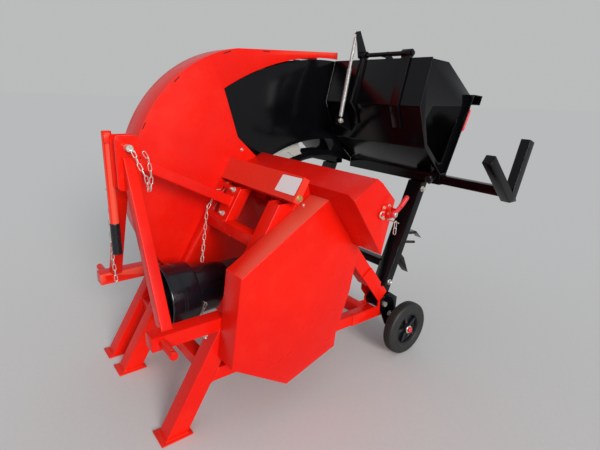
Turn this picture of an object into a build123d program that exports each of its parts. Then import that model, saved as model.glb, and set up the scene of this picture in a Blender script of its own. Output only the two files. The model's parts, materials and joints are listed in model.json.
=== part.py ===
"""Tractor driven circular log saw with a tipping cradle, built as separate sub-parts.

Frame of the model: +X runs along the saw shaft from the blade to the drive side, -Y points to the
tractor, +Z is up. While modelling, x = 0 is the blade, y = 0 the saw shaft and z = 0 the floor.
"""
from build123d import *
import os
from math import asin, atan2, cos, degrees, hypot, pi, radians, sin, sqrt

# ---- main positions (millimetres) ----
SHAFT_Z = 807.0            # saw shaft above the floor
PIVOT_Y = 417.0            # cradle pivot behind the saw shaft
PIVOT_Z = 238.0
TIP_ANGLE = 30.0           # travel of the cradle towards the blade
DRIVE_Y = -194.0           # gearbox output shaft
DRIVE_Z = 400.0
MAST_X = 229.0             # centre line of the mast and linkage
PTO_X = 245.0              # centre line of the gearbox and its input shaft
FLAT_GAP = 0.5             # between flat faces that move past each other
ROUND_GAP = 0.3            # between curved faces that stay apart
PIN_FIT = 0.05             # radial play of a running pin
SHEET = 3.0                # folded guards and hood
SHAFT_HOLE_GAP = 12.0      # around the saw shaft where it passes a plate
PLATE = 6.0                # welded plates

# ---- saw blade and its shaft ----
BLADE_R = 350.0
BLADE_T = 3.6
TEETH = 56
TOOTH_H = 11.0
TOOTH = ((0.0, BLADE_R), (0.30, BLADE_R - TOOTH_H * 0.55), (0.72, BLADE_R - TOOTH_H))   # share of pitch, radius
SHAFT_R = 17.5
FLANGE_R = 62.0
FLANGE_T = 14.0
SHAFT_X0 = -50.0
SHAFT_X1 = 668.0
NUT_AF = 46.0
NUT_T = 20.0

# ---- blade guard ----
GUARD_R = 575.0
GUARD_X = 82.0             # outer faces of the side plates at plus and minus this
GUARD_FLAT_Y = -90.0       # the round rim runs out into the flat top here
GUARD_END_Y = 482.0
WINDOW_R = 1129.0          # window arc, about the cradle pivot
WINDOW_OVER = 32.9         # side plate left over the end of the arc
GUARD_END_Z = PIVOT_Z + sqrt(WINDOW_R ** 2 - (GUARD_END_Y - PIVOT_Y) ** 2) + WINDOW_OVER
WINDOW_CORNER = (-155.0, 1203.0)
WINDOW_LOW = (-94.0, 1002.0)
WINDOW_TIP = (7.0, 906.0)
GUARD_BACK_Y = 133.0
GUARD_BACK_Z = (600.0, 841.0)
GUARD_FOOT_Y = 200.0

# ---- frame ----
LEG = 70.0
LEG_WALL = 4.0
LEG_FOOT_Y = -638.5
LEG_SLOPE = 0.584          # run in Y per rise in Z
MIDDLE_LEG_X = 43.0
RAIL_W = 30.0              # inclined rail beside the blade guard
POST_D = 50.0
RIGHT_X = 569.0            # outer face of the right side frame
FOOT_T = 6.0
FOOT_OVER = 12.0
BEAM_Y0 = -138.0
BEAM_Y1 = -38.0
BEAM_Z0 = 811.0
BEAM_Z1 = 915.0
BEAM_X1 = 568.0
BEAM_WALL = 5.0
BRACE = 66.0
BRACE_TOP = (-18.0, 810.0)
BRACE_FOOT = (412.0, 275.0)
RAIL = 50.0
RAIL_Z = 203.0
TUBE_WALL = 4.0
CHEEK_CLEAR = 160.0        # radius about the pivot kept free of frame tubes
CROSS_Z = 660.0
FRONT_RAIL_Z = 235.0
BRACE_TOP_Z = 745.0        # the rear braces end under a gusset here
POST_X = 252.0
POST_W = 45.0
REAR_RAIL_Y = 330.0
GUSSET_OVER = 30.0
CHEEK_LAP = 70.0           # how far the cheek plates run along brace and rail
PORT_W = 52.0              # square ports in the plate beside the post
PORT_H = 40.0
PORT_EDGE = 12.0
PORT_SHIFT = 14.0
DRIVE_RAIL = 60.0

# ---- three point linkage ----
LINK_W = 60.0
LINK_H = 50.0
LINK_Z = 403.0
LINK_FRONT_Y = -699.0
LINK_PIN_Y = -664.0
LINK_PIN_Z = 405.0
LINK_PIN_R = 14.0
LINK_PIN_OUT = 99.0
LINK_TANG_R = 12.0         # part of the pin inside the bar
PIN_RELIEF = 2.0           # the full radius starts this far from the face
PIN_CHAMFER = 2.0
LINCH_R = 6.0              # linch pin hole and its distance from the tip
LINCH_IN = 16.0
LINK_SPREAD = 340.0        # centre line to the outer face of a link bar
MAST_Y = -635.0
MAST_LEG_W = 50.0
MAST_LEG_D = 40.0
MAST_TOP_Z = 960.0
MAST_GAP = 50.0            # between the two plates
MAST_PLATE_T = 10.0
MAST_PLATE = (-675.0, -594.0, 853.0, 1045.0)
TOP_PIN_Z = 1004.0
TOP_PIN_R = 12.5
TOP_PIN_OUT = 32.0
MAST_CORNER_R = 14.0
MAST_BRACE = 42.0
MAST_BRACE_Z = (948.0, 746.0)

# ---- hood and belt guard ----
HOOD_RIDGE = [(33.0, 928.0), (59.0, 911.0), (133.0, 841.0), (87.0, 656.0)]
HOOD_X0 = 86.0
HOOD_X1 = 820.0
HOOD_FRONT = [(-73.0, 878.0), (85.0, 636.0)]
BELT_X0 = 571.0
BELT_X1 = 675.0
BELT_OUTLINE = [(-59.0, 834.0), (-427.0, 611.0), (-467.0, 277.0), (-230.0, 120.0), (12.0, 201.0),
                (18.0, 259.0), (82.0, 437.0), (120.0, 634.0)]

# ---- belt drive and gearbox ----
DRIVE_PULLEY_R = 112.0
SAW_PULLEY_R = 45.0
BELTS = 3
BELT_PITCH = 16.0
BELT_W = 13.0
BELT_H = 9.0
BELT_MID_X = 626.0
DRIVE_SHAFT_R = 17.5
GEARBOX = (65.0, 75.0, 70.0)   # half sizes
PTO_R = 17.4
PTO_FRONT_Y = -440.0
PTO_SHOULDER_Y = -280.0    # behind this the input shaft is thinner
PTO_TANG_R = 15.0
SHIELD_BELL = [(-546.0, 130.0), (-432.0, 126.0), (-420.0, 104.0)]   # (y, radius) of the wide front moulding
SHIELD_BARREL = [(-420.0, 104.0), (-300.0, 98.0)]
SHIELD_NECK = [(-300.0, 98.0), (-272.0, 90.0)]
SHIELD_WALL = 4.0
SHIELD_HOLE_GAP = 8.0      # free space around the input shaft in the back wall
BELT_TUCK = 3.4            # each belt is this much narrower on both sides than its groove
BELT_LIFT = 3.0            # belts stand this far out of the grooves
GROOVE = (6.5, 4.0, 11.0)  # half width at the rim and at the root, depth
PULLEY_SIDE = 3.0
WEB_HALF = 7.0
PULLEY_RIM = 26.0
HUB_WALL = 22.0
SNOUT_R = 48.0
SNOUT = 40.0
GEARBOX_EDGE_R = 18.0
SHAFT_PAST = 24.0          # the drive shaft starts this far from the gearbox middle
SHAFT_OUT = 34.0           # and ends this far past the middle of the belts
PTO_PAST = 34.0            # the input shaft ends this far in front of the middle
BLIND = 4.0                # free depth behind the end of a shaft
FOOT_EDGE = 10.0
BEARING_X = (190.0, 470.0)
BEARING_W = 44.0
HANGER_W = 64.0
HANGER_T = 10.0
HANGER_LOW = 66.0
BEARING_H = 52.0           # half height of the bearing's foot

# ---- cradle ----
TROUGH = [(489.0, 1360.0), (440.0, 1162.0), (507.0, 986.0), (640.0, 862.0), (690.0, 862.0),
          (835.0, 1214.0), (898.0, 1209.0), (886.0, 1172.0)]
TROUGH_T = 4.0
TROUGH_X1 = 650.0
TROUGH_X0 = -330.0
SHEET_X = 57.0             # blade slot: sheets at plus and minus this
SHEET_T = 4.0
SHEET_R = WINDOW_R - 7.0   # the sheets swing inside the window arc
SHEET_RIM_GAP = 8.0
SHAFT_SWING = hypot(PIVOT_Y, SHAFT_Z - PIVOT_Z)   # from the pivot to the saw shaft
SLOT_HALF = SHAFT_R + 12.5
SLOT_BEFORE = 4.8          # degrees of slot past the shaft at rest
SLOT_AFTER = 11.2          # and past the shaft with the cradle tipped
SHEET_WEB = 35.4           # sheet left between the slot and the inner edge
SHEET_INNER_R = SHAFT_SWING - SLOT_HALF - SHEET_WEB
END_PLATE_X = 622.0
END_PLATE_TOP = [(878.0, 1214.0), (640.0, 1349.0)]
LOG_PORT = [(560.0, 1165.0), (520.0, 1110.0), (552.0, 1000.0), (648.0, 912.0), (676.0, 912.0),
            (780.0, 1165.0)]
SOCKET = 50.0
SOCKET_Y = 665.0
SOCKET_Z = 837.0
SOCKET_WALL = 4.5
COLUMN_W = 80.0
COLUMN_D = 40.0
COLUMN_WALL = 4.0
COLUMN_SLOPE = 0.398
COLUMN_BOSS_R = 30.0
COLUMN_BOLT_Z = (780.0, 338.0)
PIVOT_PIN_R = 12.0
CROSS_TUBE = 40.0
CROSS_TUBE_Y = 487.0
CROSS_TUBE_Z = 411.0
PULL_SPAN = (0.58, 0.86)   # feet of the pull handle, as shares of the sloping side
PULL_IN = 26.0
PULL_OUT = 44.0
PULL_BEND = 16.0
PULL_R = 6.0

# ---- log rest ----
REST = 40.0
REST_WALL = 3.0
REST_X0 = 250.0
REST_X1 = 994.0
REST_ARMS = [(-202.0, 181.0), (78.0, 239.0)]   # arm tips from the bottom of the V
REST_FOOT = (659.0, 808.0)
REST_ROOT = 0.08           # the arms cross below the V by this share of their length
REST_LOW = 6.0
KNOB_X = 620.0
KNOB_NUT = 12.0            # half width and depth of its welded nut
KNOB_STEM_R = 5.0
KNOB_R = 21.0
KNOB_GRIP = (14.0, 32.0)   # the grip starts and ends this far from the nut
KNOB_EDGE = 5.0

# ---- hold-down and its strut ----
HINGE_Y = 492.0
HINGE_Z = 1379.0
HINGE_R = 10.0
STRUT_X = 222.0
LEVER_X = 232.0            # lever plate beside the strut, flush with the end of the hinge shaft
STRUT_FOOT = (392.0, 1078.0)
LEVER_TIP = (466.0, 1477.0)
STRAPS_X = ((240.0, 275.0), (492.0, 540.0))
STRAP_T = 10.0
STRAP_SHORT = 0.47         # share of the wall's middle panel that the straps leave bare
HINGE_EYE_R = 17.0
HINGE_END_X = 548.0
CLAW_X = 380.0
CLAW_T = 10.0
CLAW_TEETH = 5
CLAW_PITCH = 18.0
CLAW_TOOTH = 16.0
CLAW_DROP = 10.0           # each tooth stands this much lower than the last
STRUT_R = 11.0
STRUT_ROD_R = 6.0
STRUT_SLEEVE_R = 9.0
STRUT_EYE_R = 15.0
STRUT_EYE_W = 12.0
STRUT_HOOK_R = 7.5
STRUT_PIN_R = 4.0
STUD_R = 6.0
STRUT_SPLIT = 0.60         # shares of the strut's length: end of the body, start of its bore, start of the rod
STRUT_BORE = 0.20
STRUT_ROD = 0.35
LUG_X = (24.0, 14.0)       # both faces of the lug, from the strut's centre line

# ---- wheels ----
WHEEL_R = 130.0
WHEEL_RIM_R = 78.0
WHEEL_W = 50.0
WHEEL_Y = 482.0
WHEEL_OUT = 97.0           # frame side to the middle of the tyre
AXLE_R = 10.0
AXLE_OUT = 14.0
HUB_R = 20.0
RIM_WALL = 10.0
RIM_WEB = 10.0
TYRE_SHOULDER = (12.0, 7.0)
WHEEL_BRACKET = [(394.0, 262.0), (450.0, 292.0), (512.0, 250.0), (510.0, 122.0), (470.0, 102.0),
                 (440.0, 118.0), (398.0, 205.0)]

# ---- towing handle ----
TOW_OFF = 22.0             # from the mast plate to its centre line
TOW_Y = -676.0
TOW_TOP = 1049.0
TOW_LOW = 715.0
TOW_GRIP_LOW = 592.0
TOW_GRIP_BORE_LOW = 650.0
TOW_R = 17.0
TOW_BORE_R = 13.0
TOW_GRIP_R = 18.0
TOW_PIN_R = 6.0
TOW_PIN_DROP = 22.0
TOW_EAR = (14.0, 30.0)     # reach of its ear in front of and behind the pin

# ---- latch on the hood ----
LATCH_Y = 96.0
LATCH_Z = 800.0
LATCH_PIN_R = 5.0
LATCH_ARM = (34.0, 26.0)
LATCH_GRIP = (62.0, 54.0)
LATCH_GRIP_R = 9.0
LATCH_ARM_X = 32.0         # middle of the lever, from the end of the hood

# ---- holder for the drive shaft ----
HOLDER_X = (46.0, 6.0)     # both sides, from the outer face of the column
HOLDER_ROD_R = 7.0
HOLDER_Z = (430.0, 590.0)

# ---- chains and fasteners ----
LINK_LONG = 30.0
LINK_WIDE = 14.0
LINK_WIRE = 3.0
BOLT_CORNER_R = 9.9
BOLT_HEAD = 7.0
WASHER_R = 12.0
WASHER_T = 2.0
EYE_R = 2.2                # bar that carries the first link
# each chain: its points, the way its eye bar points, and the face of the carrier that the bar stands on
CHAINS = [
    ([(316.0, -634.0, 1000.0), (326.0, -616.0, 945.0), (334.0, -600.0, 905.0), (328.0, -594.0, 862.0),
      (312.0, -580.0, 858.0), (310.0, -574.0, 905.0), (310.0, -580.0, 965.0), (312.0, -600.0, 1000.0)],
     (1, 0, 0), 296.0),
    ([(122.0, -672.0, 838.0), (121.0, -680.0, 700.0), (120.0, -682.0, 560.0), (118.0, -676.0, 440.0)],
     (0, -1, 0), -655.0),
    ([(126.0, -226.0, 786.0), (140.0, -284.0, 705.0), (168.0, -306.0, 650.0), (200.0, -330.0, 600.0),
      (246.0, -366.0, 509.0)], (0, -1, 0), -211.1),
    ([(366.0, -410.0, 390.0), (362.0, -432.0, 335.0), (352.0, -462.0, 306.0), (338.0, -498.0, 288.0)],
     (1, 0, 0), 348.2),
    ([(850.0, 112.0, 770.0), (850.0, 110.0, 715.0)], (1, 0, 0), 820.0),
]

PARTS = {}


def keep(node, *shapes):
    """Store one sub-part under its node name."""
    solids = [solid for shape in shapes for solid in shape.solids()]
    solids = (PARTS[node].solids() if node in PARTS else []) + solids
    PARTS[node] = solids[0] if len(solids) == 1 else Compound(solids)


def largest(shape):
    return max(shape.solids(), key=lambda solid: solid.volume)


def block(x0, x1, y0, y1, z0, z1):
    return Pos((x0 + x1) / 2, (y0 + y1) / 2, (z0 + z1) / 2) * Box(x1 - x0, y1 - y0, z1 - z0)


def prism(points, x0, x1):
    """Solid between x0 and x1 with a (y, z) outline."""
    wire = Polyline(*[(x0, y, z) for y, z in points], close=True)
    return extrude(make_face(wire), amount=x1 - x0, dir=(1, 0, 0))


def disc(y, z, radius, x0, x1):
    """Round bar along X."""
    return extrude(Plane((x0, y, z), x_dir=(0, 1, 0), z_dir=(1, 0, 0)) * Circle(radius), amount=x1 - x0)


def ring(y, z, outer, inner, x0, x1):
    return disc(y, z, outer, x0, x1) - disc(y, z, inner, x0 - 1, x1 + 1)


def round_bar(start, end, radius):
    run = Vector(*end) - Vector(*start)
    return extrude(Plane(start, z_dir=run) * Circle(radius), amount=run.length)


def bar(start, end, wide, deep, side=(1, 0, 0)):
    """Solid rectangular bar from start to end; wide is measured along side."""
    run = Vector(*end) - Vector(*start)
    return extrude(Plane(start, x_dir=side, z_dir=run) * Rectangle(wide, deep), amount=run.length)


def tube(start, end, wide, deep, wall, side=(1, 0, 0)):
    bore = bar(start, end, wide - 2 * wall, deep - 2 * wall, side)
    return bar(start, end, wide, deep, side) - bore


def beside(points, gap):
    """The open polyline moved to its left by gap, with mitred corners."""
    moved = []
    for i, (y, z) in enumerate(points):
        normals = []
        for a, b in ((i - 1, i), (i, i + 1)):
            if a >= 0 and b < len(points):
                run = (points[b][0] - points[a][0], points[b][1] - points[a][1])
                length = hypot(*run)
                normals.append((-run[1] / length, run[0] / length))
        first, last = normals[0], normals[-1]
        scale = gap / (1 + first[0] * last[0] + first[1] * last[1])
        moved.append((y + (first[0] + last[0]) * scale, z + (first[1] + last[1]) * scale))
    return moved


def folded(points, thickness, x0, x1):
    """Sheet bent along a (y, z) polyline, its thickness on the left of the path."""
    return prism(points + beside(points, thickness)[::-1], x0, x1)


def around_pivot(radius, angle):
    return (PIVOT_Y + radius * cos(radians(angle)), PIVOT_Z + radius * sin(radians(angle)))


def pivot_angle(y, z):
    return degrees(atan2(z - PIVOT_Z, y - PIVOT_Y))


def leg_y(z):
    """Centre line of the inclined front legs."""
    return LEG_FOOT_Y + LEG_SLOPE * z


def column_y(z):
    return PIVOT_Y + COLUMN_SLOPE * (z - PIVOT_Z)


def sloping_leg(x, wide, deep, z0, z1):
    """Front leg, rail or post on the inclined plane, cut level at both ends."""
    ends = [(x, leg_y(z), z) for z in (z0 - LEG, z1 + LEG)]
    slab = block(x - wide, x + wide, leg_y(z0) - 2 * LEG, leg_y(z1) + 2 * LEG, z0, z1)
    return tube(ends[0], ends[1], wide, deep, LEG_WALL) & slab


def leg_envelope(deep):
    """The inclined plane that holds all front legs, as thick as one of them."""
    return bar((0, leg_y(0), 0), (0, leg_y(900), 900), 4 * RIGHT_X, deep)


def side_frames():
    """Outer face and direction inwards of the right and the left side frame."""
    return ((RIGHT_X, -1), (-GUARD_X - LEG, 1))


def legs():
    under_guard = disc(0, SHAFT_Z, GUARD_R + ROUND_GAP, -LEG - GUARD_X, LEG + GUARD_X)
    outer_x = GUARD_X + LEG / 2
    for x in (RIGHT_X - LEG / 2, MIDDLE_LEG_X, -outer_x):
        leg = sloping_leg(x, LEG, LEG, FOOT_T, BEAM_Z0)
        keep("front_legs", largest(leg - under_guard) if x == MIDDLE_LEG_X else leg)
        half = LEG / 2 + FOOT_OVER
        reach = half + FOOT_OVER
        y = leg_y(FOOT_T / 2)
        keep("foot_plates", block(x - half, x + half, y - reach, y + reach, 0, FOOT_T))
    y = leg_y(FRONT_RAIL_Z)
    edges = (-GUARD_X, MIDDLE_LEG_X - LEG / 2, MIDDLE_LEG_X + LEG / 2, RIGHT_X - LEG)
    for x0, x1 in (edges[:2], edges[2:]):
        keep("cross_rails", tube((x0, y, FRONT_RAIL_Z), (x1, y, FRONT_RAIL_Z), RAIL, RAIL, TUBE_WALL,
                                      side=(0, 1, 0)))


def lower_frame():
    legs_solid = leg_envelope(LEG)
    for face, inward in side_frames():
        x = face + inward * RAIL / 2
        rail = tube((x, leg_y(RAIL_Z), RAIL_Z), (x, PIVOT_Y - 42, RAIL_Z), RAIL, RAIL, TUBE_WALL)
        keep("lower_rails", largest(rail - legs_solid))
        x = face + inward * BRACE / 2
        brace = tube((x, *BRACE_TOP), (x, *BRACE_FOOT), BRACE, BRACE, TUBE_WALL)
        keep_out = disc(PIVOT_Y, PIVOT_Z, CHEEK_CLEAR, x - BRACE, x + BRACE)
        under_gusset = block(x - BRACE, x + BRACE, BEAM_Y0 - 60, 900, 0, BRACE_TOP_Z)
        keep("rear_braces", largest((brace & under_gusset) - keep_out))
    x0, x1 = [face + inward * RAIL for face, inward in side_frames()][::-1]
    keep("cross_rails", tube((x0, REAR_RAIL_Y, RAIL_Z), (x1, REAR_RAIL_Y, RAIL_Z), RAIL, RAIL,
                                 TUBE_WALL, side=(0, 1, 0)))
    keep("gearbox_stand", tube((x0, DRIVE_Y, RAIL_Z), (x1, DRIVE_Y, RAIL_Z), DRIVE_RAIL, RAIL,
                               TUBE_WALL, side=(0, 1, 0)))


def gussets():
    """Triangular plates that join leg, beam and rear brace at the top of each side frame."""
    half = LEG / 2 / cos(atan2(LEG_SLOPE, 1))
    top_y, low_y = leg_y(BEAM_Z0) + half, leg_y(BRACE_TOP_Z) + half
    drop = (BRACE_TOP[1] - BRACE_TOP_Z) / (BRACE_TOP[1] - BRACE_FOOT[1])
    brace_y = BRACE_TOP[0] + drop * (BRACE_FOOT[0] - BRACE_TOP[0])
    outline = [(top_y, BEAM_Z0), (low_y, BRACE_TOP_Z), (brace_y + GUSSET_OVER, BRACE_TOP_Z), (BEAM_Y1, BEAM_Z0)]
    for face, inward in side_frames():
        x0, x1 = sorted((face, face + inward * PLATE))
        plate = prism(outline, x0, x1) - disc(0, SHAFT_Z, SHAFT_R + SHAFT_HOLE_GAP, x0 - 1, x1 + 1)
        keep("rear_braces", plate)


def pivot_plates():
    """Cheek plates beside each column, shaped to the tubes they are welded to, and the pivot pins."""
    arm = bar((0, *BRACE_TOP), (0, *BRACE_FOOT), PLATE, BRACE)
    reach = disc(PIVOT_Y, PIVOT_Z, CHEEK_CLEAR + CHEEK_LAP, -PLATE, PLATE)
    foot = bar((0, PIVOT_Y - CHEEK_CLEAR - 40, RAIL_Z), (0, PIVOT_Y, RAIL_Z), PLATE, RAIL)
    boss = disc(PIVOT_Y, PIVOT_Z, 3 * PIVOT_PIN_R, -PLATE / 2, PLATE / 2)
    cheek = ((arm & reach) + foot + boss) - disc(PIVOT_Y, PIVOT_Z, PIVOT_PIN_R, -PLATE, PLATE)
    bolt_r = hypot(column_y(COLUMN_BOLT_Z[1]) - PIVOT_Y, COLUMN_BOLT_Z[1] - PIVOT_Z)
    bolt_angle = pivot_angle(column_y(COLUMN_BOLT_Z[1]), COLUMN_BOLT_Z[1])
    swept = arc_slot(bolt_r, WASHER_R + 2, bolt_angle, bolt_angle + TIP_ANGLE)
    relief = extrude(Plane.YZ.offset(-PLATE) * swept, amount=2 * PLATE)
    behind_rail = block(-PLATE, PLATE, REAR_RAIL_Y + RAIL / 2, 900, 0, 900)
    slot = COLUMN_W + 2 * FLAT_GAP
    for face, inward in side_frames():
        keep("pivot_plates", Pos(face - inward * PLATE / 2, 0, 0) * largest(cheek - relief))
        keep("pivot_plates", Pos(face + inward * (slot + PLATE / 2), 0, 0) * largest(cheek & behind_rail))
        ends = sorted((face - inward * 4 * PLATE, face + inward * (slot + 2 * PLATE + 2)))
        keep("frame_pins", disc(PIVOT_Y, PIVOT_Z, PIVOT_PIN_R, *ends))


def upper_frame():
    y, z = (BEAM_Y0 + BEAM_Y1) / 2, (BEAM_Z0 + BEAM_Z1) / 2
    keep("upper_beam", tube((GUARD_X, y, z), (BEAM_X1, y, z), BEAM_Y1 - BEAM_Y0, BEAM_Z1 - BEAM_Z0,
                            BEAM_WALL, side=(0, 1, 0)))
    keep("upper_beam", block(BEAM_X1, BEAM_X1 + SHEET, BEAM_Y0, BEAM_Y1, BEAM_Z0, BEAM_Z1))
    y = leg_y(CROSS_Z)
    rail_x = GUARD_X + RAIL_W / 2
    front_top = FRONT_RAIL_Z + RAIL / 2
    keep("middle_post", sloping_leg(rail_x, RAIL_W, POST_D, front_top, BEAM_Z0))
    left, right = GUARD_X + RAIL_W, RIGHT_X - LEG
    keep("cross_rails", tube((left, y, CROSS_Z), (right, y, CROSS_Z), RAIL, RAIL, TUBE_WALL, side=(0, 1, 0)))
    low, high = CROSS_Z + RAIL / 2, BEAM_Z0
    keep("middle_post", sloping_leg(POST_X, POST_W, POST_D, low, high))
    plate = prism([(post_front(low), low), (post_front(low) + PLATE, low),
                   (post_front(high) + PLATE, high), (post_front(high), high)], left, POST_X - POST_W / 2)
    mid = (left + POST_X - POST_W / 2) / 2 - PORT_SHIFT
    for z in (low + PORT_EDGE, high - PORT_EDGE - PORT_H):
        plate -= block(mid - PORT_W / 2, mid + PORT_W / 2, LEG_FOOT_Y, 0, z, z + PORT_H)
    keep("middle_post", plate)


def post_front(z):
    """Front face of the rail and post on the inclined plane."""
    return leg_y(z) - POST_D / 2 / cos(atan2(LEG_SLOPE, 1))


def linkage():
    legs_solid = leg_envelope(LEG)
    beside_guard = disc(0, SHAFT_Z, GUARD_R + ROUND_GAP, -GUARD_X, GUARD_X)
    for out in (1, -1):
        x = MAST_X + out * (LINK_SPREAD - LINK_W / 2)
        side = x + out * LINK_W / 2
        run = tube((x, LINK_FRONT_Y + PLATE, LINK_Z), (x, leg_y(LINK_Z), LINK_Z), LINK_W, LINK_H, TUBE_WALL)
        cap = block(x - LINK_W / 2, x + LINK_W / 2, LINK_FRONT_Y, LINK_FRONT_Y + PLATE,
                    LINK_Z - LINK_H / 2, LINK_Z + LINK_H / 2)
        bore = disc(LINK_PIN_Y, LINK_PIN_Z, LINK_TANG_R, x - LINK_W, x + LINK_W)
        keep("link_bars", largest((run - legs_solid) + cap - bore - beside_guard))
        inner_end, shoulder, tip = side - out * LINK_W, side + out * PIN_RELIEF, side + out * LINK_PIN_OUT
        tang = disc(LINK_PIN_Y, LINK_PIN_Z, LINK_TANG_R, *sorted((inner_end, shoulder)))
        pin = disc(LINK_PIN_Y, LINK_PIN_Z, LINK_PIN_R, *sorted((shoulder, tip)))
        pin = chamfer(pin.edges().filter_by(GeomType.CIRCLE).sort_by(Axis.X)[-1 if out > 0 else 0], PIN_CHAMFER)
        hole_x = tip - out * LINCH_IN
        pin -= round_bar((hole_x, LINK_PIN_Y, LINK_PIN_Z - 2 * LINK_PIN_R),
                         (hole_x, LINK_PIN_Y, LINK_PIN_Z + 2 * LINK_PIN_R), LINCH_R)
        keep("link_pins", pin + tang)


def mast():
    half = MAST_GAP / 2 + MAST_PLATE_T
    y0, y1, z0, z1 = MAST_PLATE
    for out in (1, -1):
        outer = MAST_X + out * half
        a, b = sorted((MAST_X + out * MAST_GAP / 2, outer))
        plate = fillet(block(a, b, y0, y1, z0, z1).edges().filter_by(Axis.X), MAST_CORNER_R)
        keep("mast_plates", plate - disc(MAST_Y, TOP_PIN_Z, TOP_PIN_R, a - 1, b + 1))
        foot_x = MAST_X + out * (LINK_SPREAD - LINK_W / 2)
        foot_z = LINK_Z + LINK_H / 2
        leg = tube((foot_x, MAST_Y, foot_z - LINK_W), (outer - out * MAST_PLATE_T, MAST_Y, MAST_TOP_Z),
                   MAST_LEG_D, MAST_LEG_W, TUBE_WALL, side=(0, 1, 0))
        lo, hi = sorted((outer, outer + out * 2 * LINK_SPREAD))
        keep("mast_legs", largest(leg & block(lo, hi, y0, y1, foot_z, z1)))
    pin = disc(MAST_Y, TOP_PIN_Z, TOP_PIN_R, MAST_X - half - TOP_PIN_OUT / 2, MAST_X + half + TOP_PIN_OUT)
    keep("top_link_pin", chamfer(pin.edges().filter_by(GeomType.CIRCLE), PIN_CHAMFER))
    front, back = MAST_BRACE_Z
    run = tube((MAST_X, y1, front), (MAST_X, leg_y(back), back), MAST_BRACE, MAST_BRACE, TUBE_WALL)
    x0, x1 = MAST_X - MAST_BRACE, MAST_X + MAST_BRACE
    run &= block(x0, x1, y1, 0, 0, 2 * z1)
    behind = prism([(post_front(z), z) for z in (CROSS_Z, z1)] + [(-y1, z1), (-y1, CROSS_Z)], x0, x1)
    keep("mast_legs", largest(run - behind))


def guard_outline():
    """Side plate of the blade guard: round at the front, flat on top, open where the cradle enters."""
    def rim(angle):
        return (GUARD_R * cos(radians(angle)), SHAFT_Z + GUARD_R * sin(radians(angle)))
    flat = degrees(atan2(sqrt(GUARD_R ** 2 - GUARD_FLAT_Y ** 2), GUARD_FLAT_Y))
    foot = degrees(atan2(-sqrt(GUARD_R ** 2 - GUARD_FOOT_Y ** 2), GUARD_FOOT_Y)) + 360
    corner = pivot_angle(*WINDOW_CORNER)
    end_run = GUARD_END_Y - PIVOT_Y
    end = degrees(atan2(sqrt(WINDOW_R ** 2 - end_run ** 2), end_run))
    corner_point = around_pivot(WINDOW_R, corner)
    arc_end = around_pivot(WINDOW_R, end)
    edges = [Line((GUARD_END_Y, GUARD_END_Z), rim(flat)),
             ThreePointArc(rim(flat), rim((flat + foot) / 2), rim(foot)),
             Polyline(rim(foot), (GUARD_BACK_Y, GUARD_BACK_Z[0]), (GUARD_BACK_Y, GUARD_BACK_Z[1]), WINDOW_TIP,
                      WINDOW_LOW, corner_point),
             ThreePointArc(corner_point, around_pivot(WINDOW_R, (corner + end) / 2), arc_end),
             Line(arc_end, (GUARD_END_Y, GUARD_END_Z))]
    return edges, rim, flat, foot


def blade_guard():
    edges, rim, flat, foot = guard_outline()
    face = make_face(edges)
    hole = Pos(0, SHAFT_Z) * Circle(SHAFT_R + SHAFT_HOLE_GAP)
    for x, cut in ((GUARD_X - SHEET, face - hole), (-GUARD_X, face)):
        keep("guard_sides", extrude(Plane.YZ.offset(x) * cut, amount=SHEET))
    inner = GUARD_R - SHEET
    mid = (flat + foot) / 2
    def inside(angle):
        return (inner * cos(radians(angle)), SHAFT_Z + inner * sin(radians(angle)))
    strip = [Line((GUARD_END_Y, GUARD_END_Z), rim(flat)),
             ThreePointArc(rim(flat), rim(mid), rim(foot)),
             Line(rim(foot), inside(foot)),
             ThreePointArc(inside(foot), inside(mid), inside(flat)),
             Line(inside(flat), (GUARD_END_Y, GUARD_END_Z - SHEET)),
             Line((GUARD_END_Y, GUARD_END_Z - SHEET), (GUARD_END_Y, GUARD_END_Z))]
    width = 2 * (GUARD_X - SHEET)
    keep("guard_rim", extrude(Plane.YZ.offset(-width / 2) * make_face(strip), amount=width))


def hood():
    """Folded cover over the shaft, with a closed box at its right end."""
    top = [(BEAM_Y0, BEAM_Z1)] + HOOD_RIDGE
    cover = folded(top[::-1], -SHEET, HOOD_X0, BELT_X1)
    cover -= block(HOOD_X0, BELT_X1 + 9, BEAM_Y0 - 9, BEAM_Y1 + 9, 0, BEAM_Z1)
    brace_x = RIGHT_X - BRACE / 2
    cover -= bar((brace_x, *BRACE_TOP), (brace_x, *BRACE_FOOT), BRACE + 2 * FLAT_GAP, BRACE + 2 * FLAT_GAP)
    keep("hood_cover", largest(cover))
    outline = HOOD_FRONT + [HOOD_RIDGE[3], HOOD_RIDGE[2], HOOD_RIDGE[1], HOOD_RIDGE[0]]
    inner = offset_polygon(outline, SHEET)
    keep("hood_end", prism(outline, BELT_X1, HOOD_X1) - prism(inner, BELT_X1 - 1, HOOD_X1 - SHEET))


def offset_polygon(points, gap):
    """The closed polygon drawn in by gap."""
    loop = [points[-1]] + points + [points[0]]
    return beside(loop, gap)[1:-1]


def belt_guard():
    """Outer plate and rim; open towards the shaft and at the back."""
    inner = beside(BELT_OUTLINE, SHEET)
    plate = prism(BELT_OUTLINE, BELT_X1 - SHEET, BELT_X1)
    rim = prism(BELT_OUTLINE + inner[::-1], BELT_X0, BELT_X1)
    cover = folded(HOOD_RIDGE[::-1], -SHEET, BELT_X0 - 1, BELT_X1 + 1)
    keep("belt_guard", largest((plate + rim) - cover))


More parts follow.
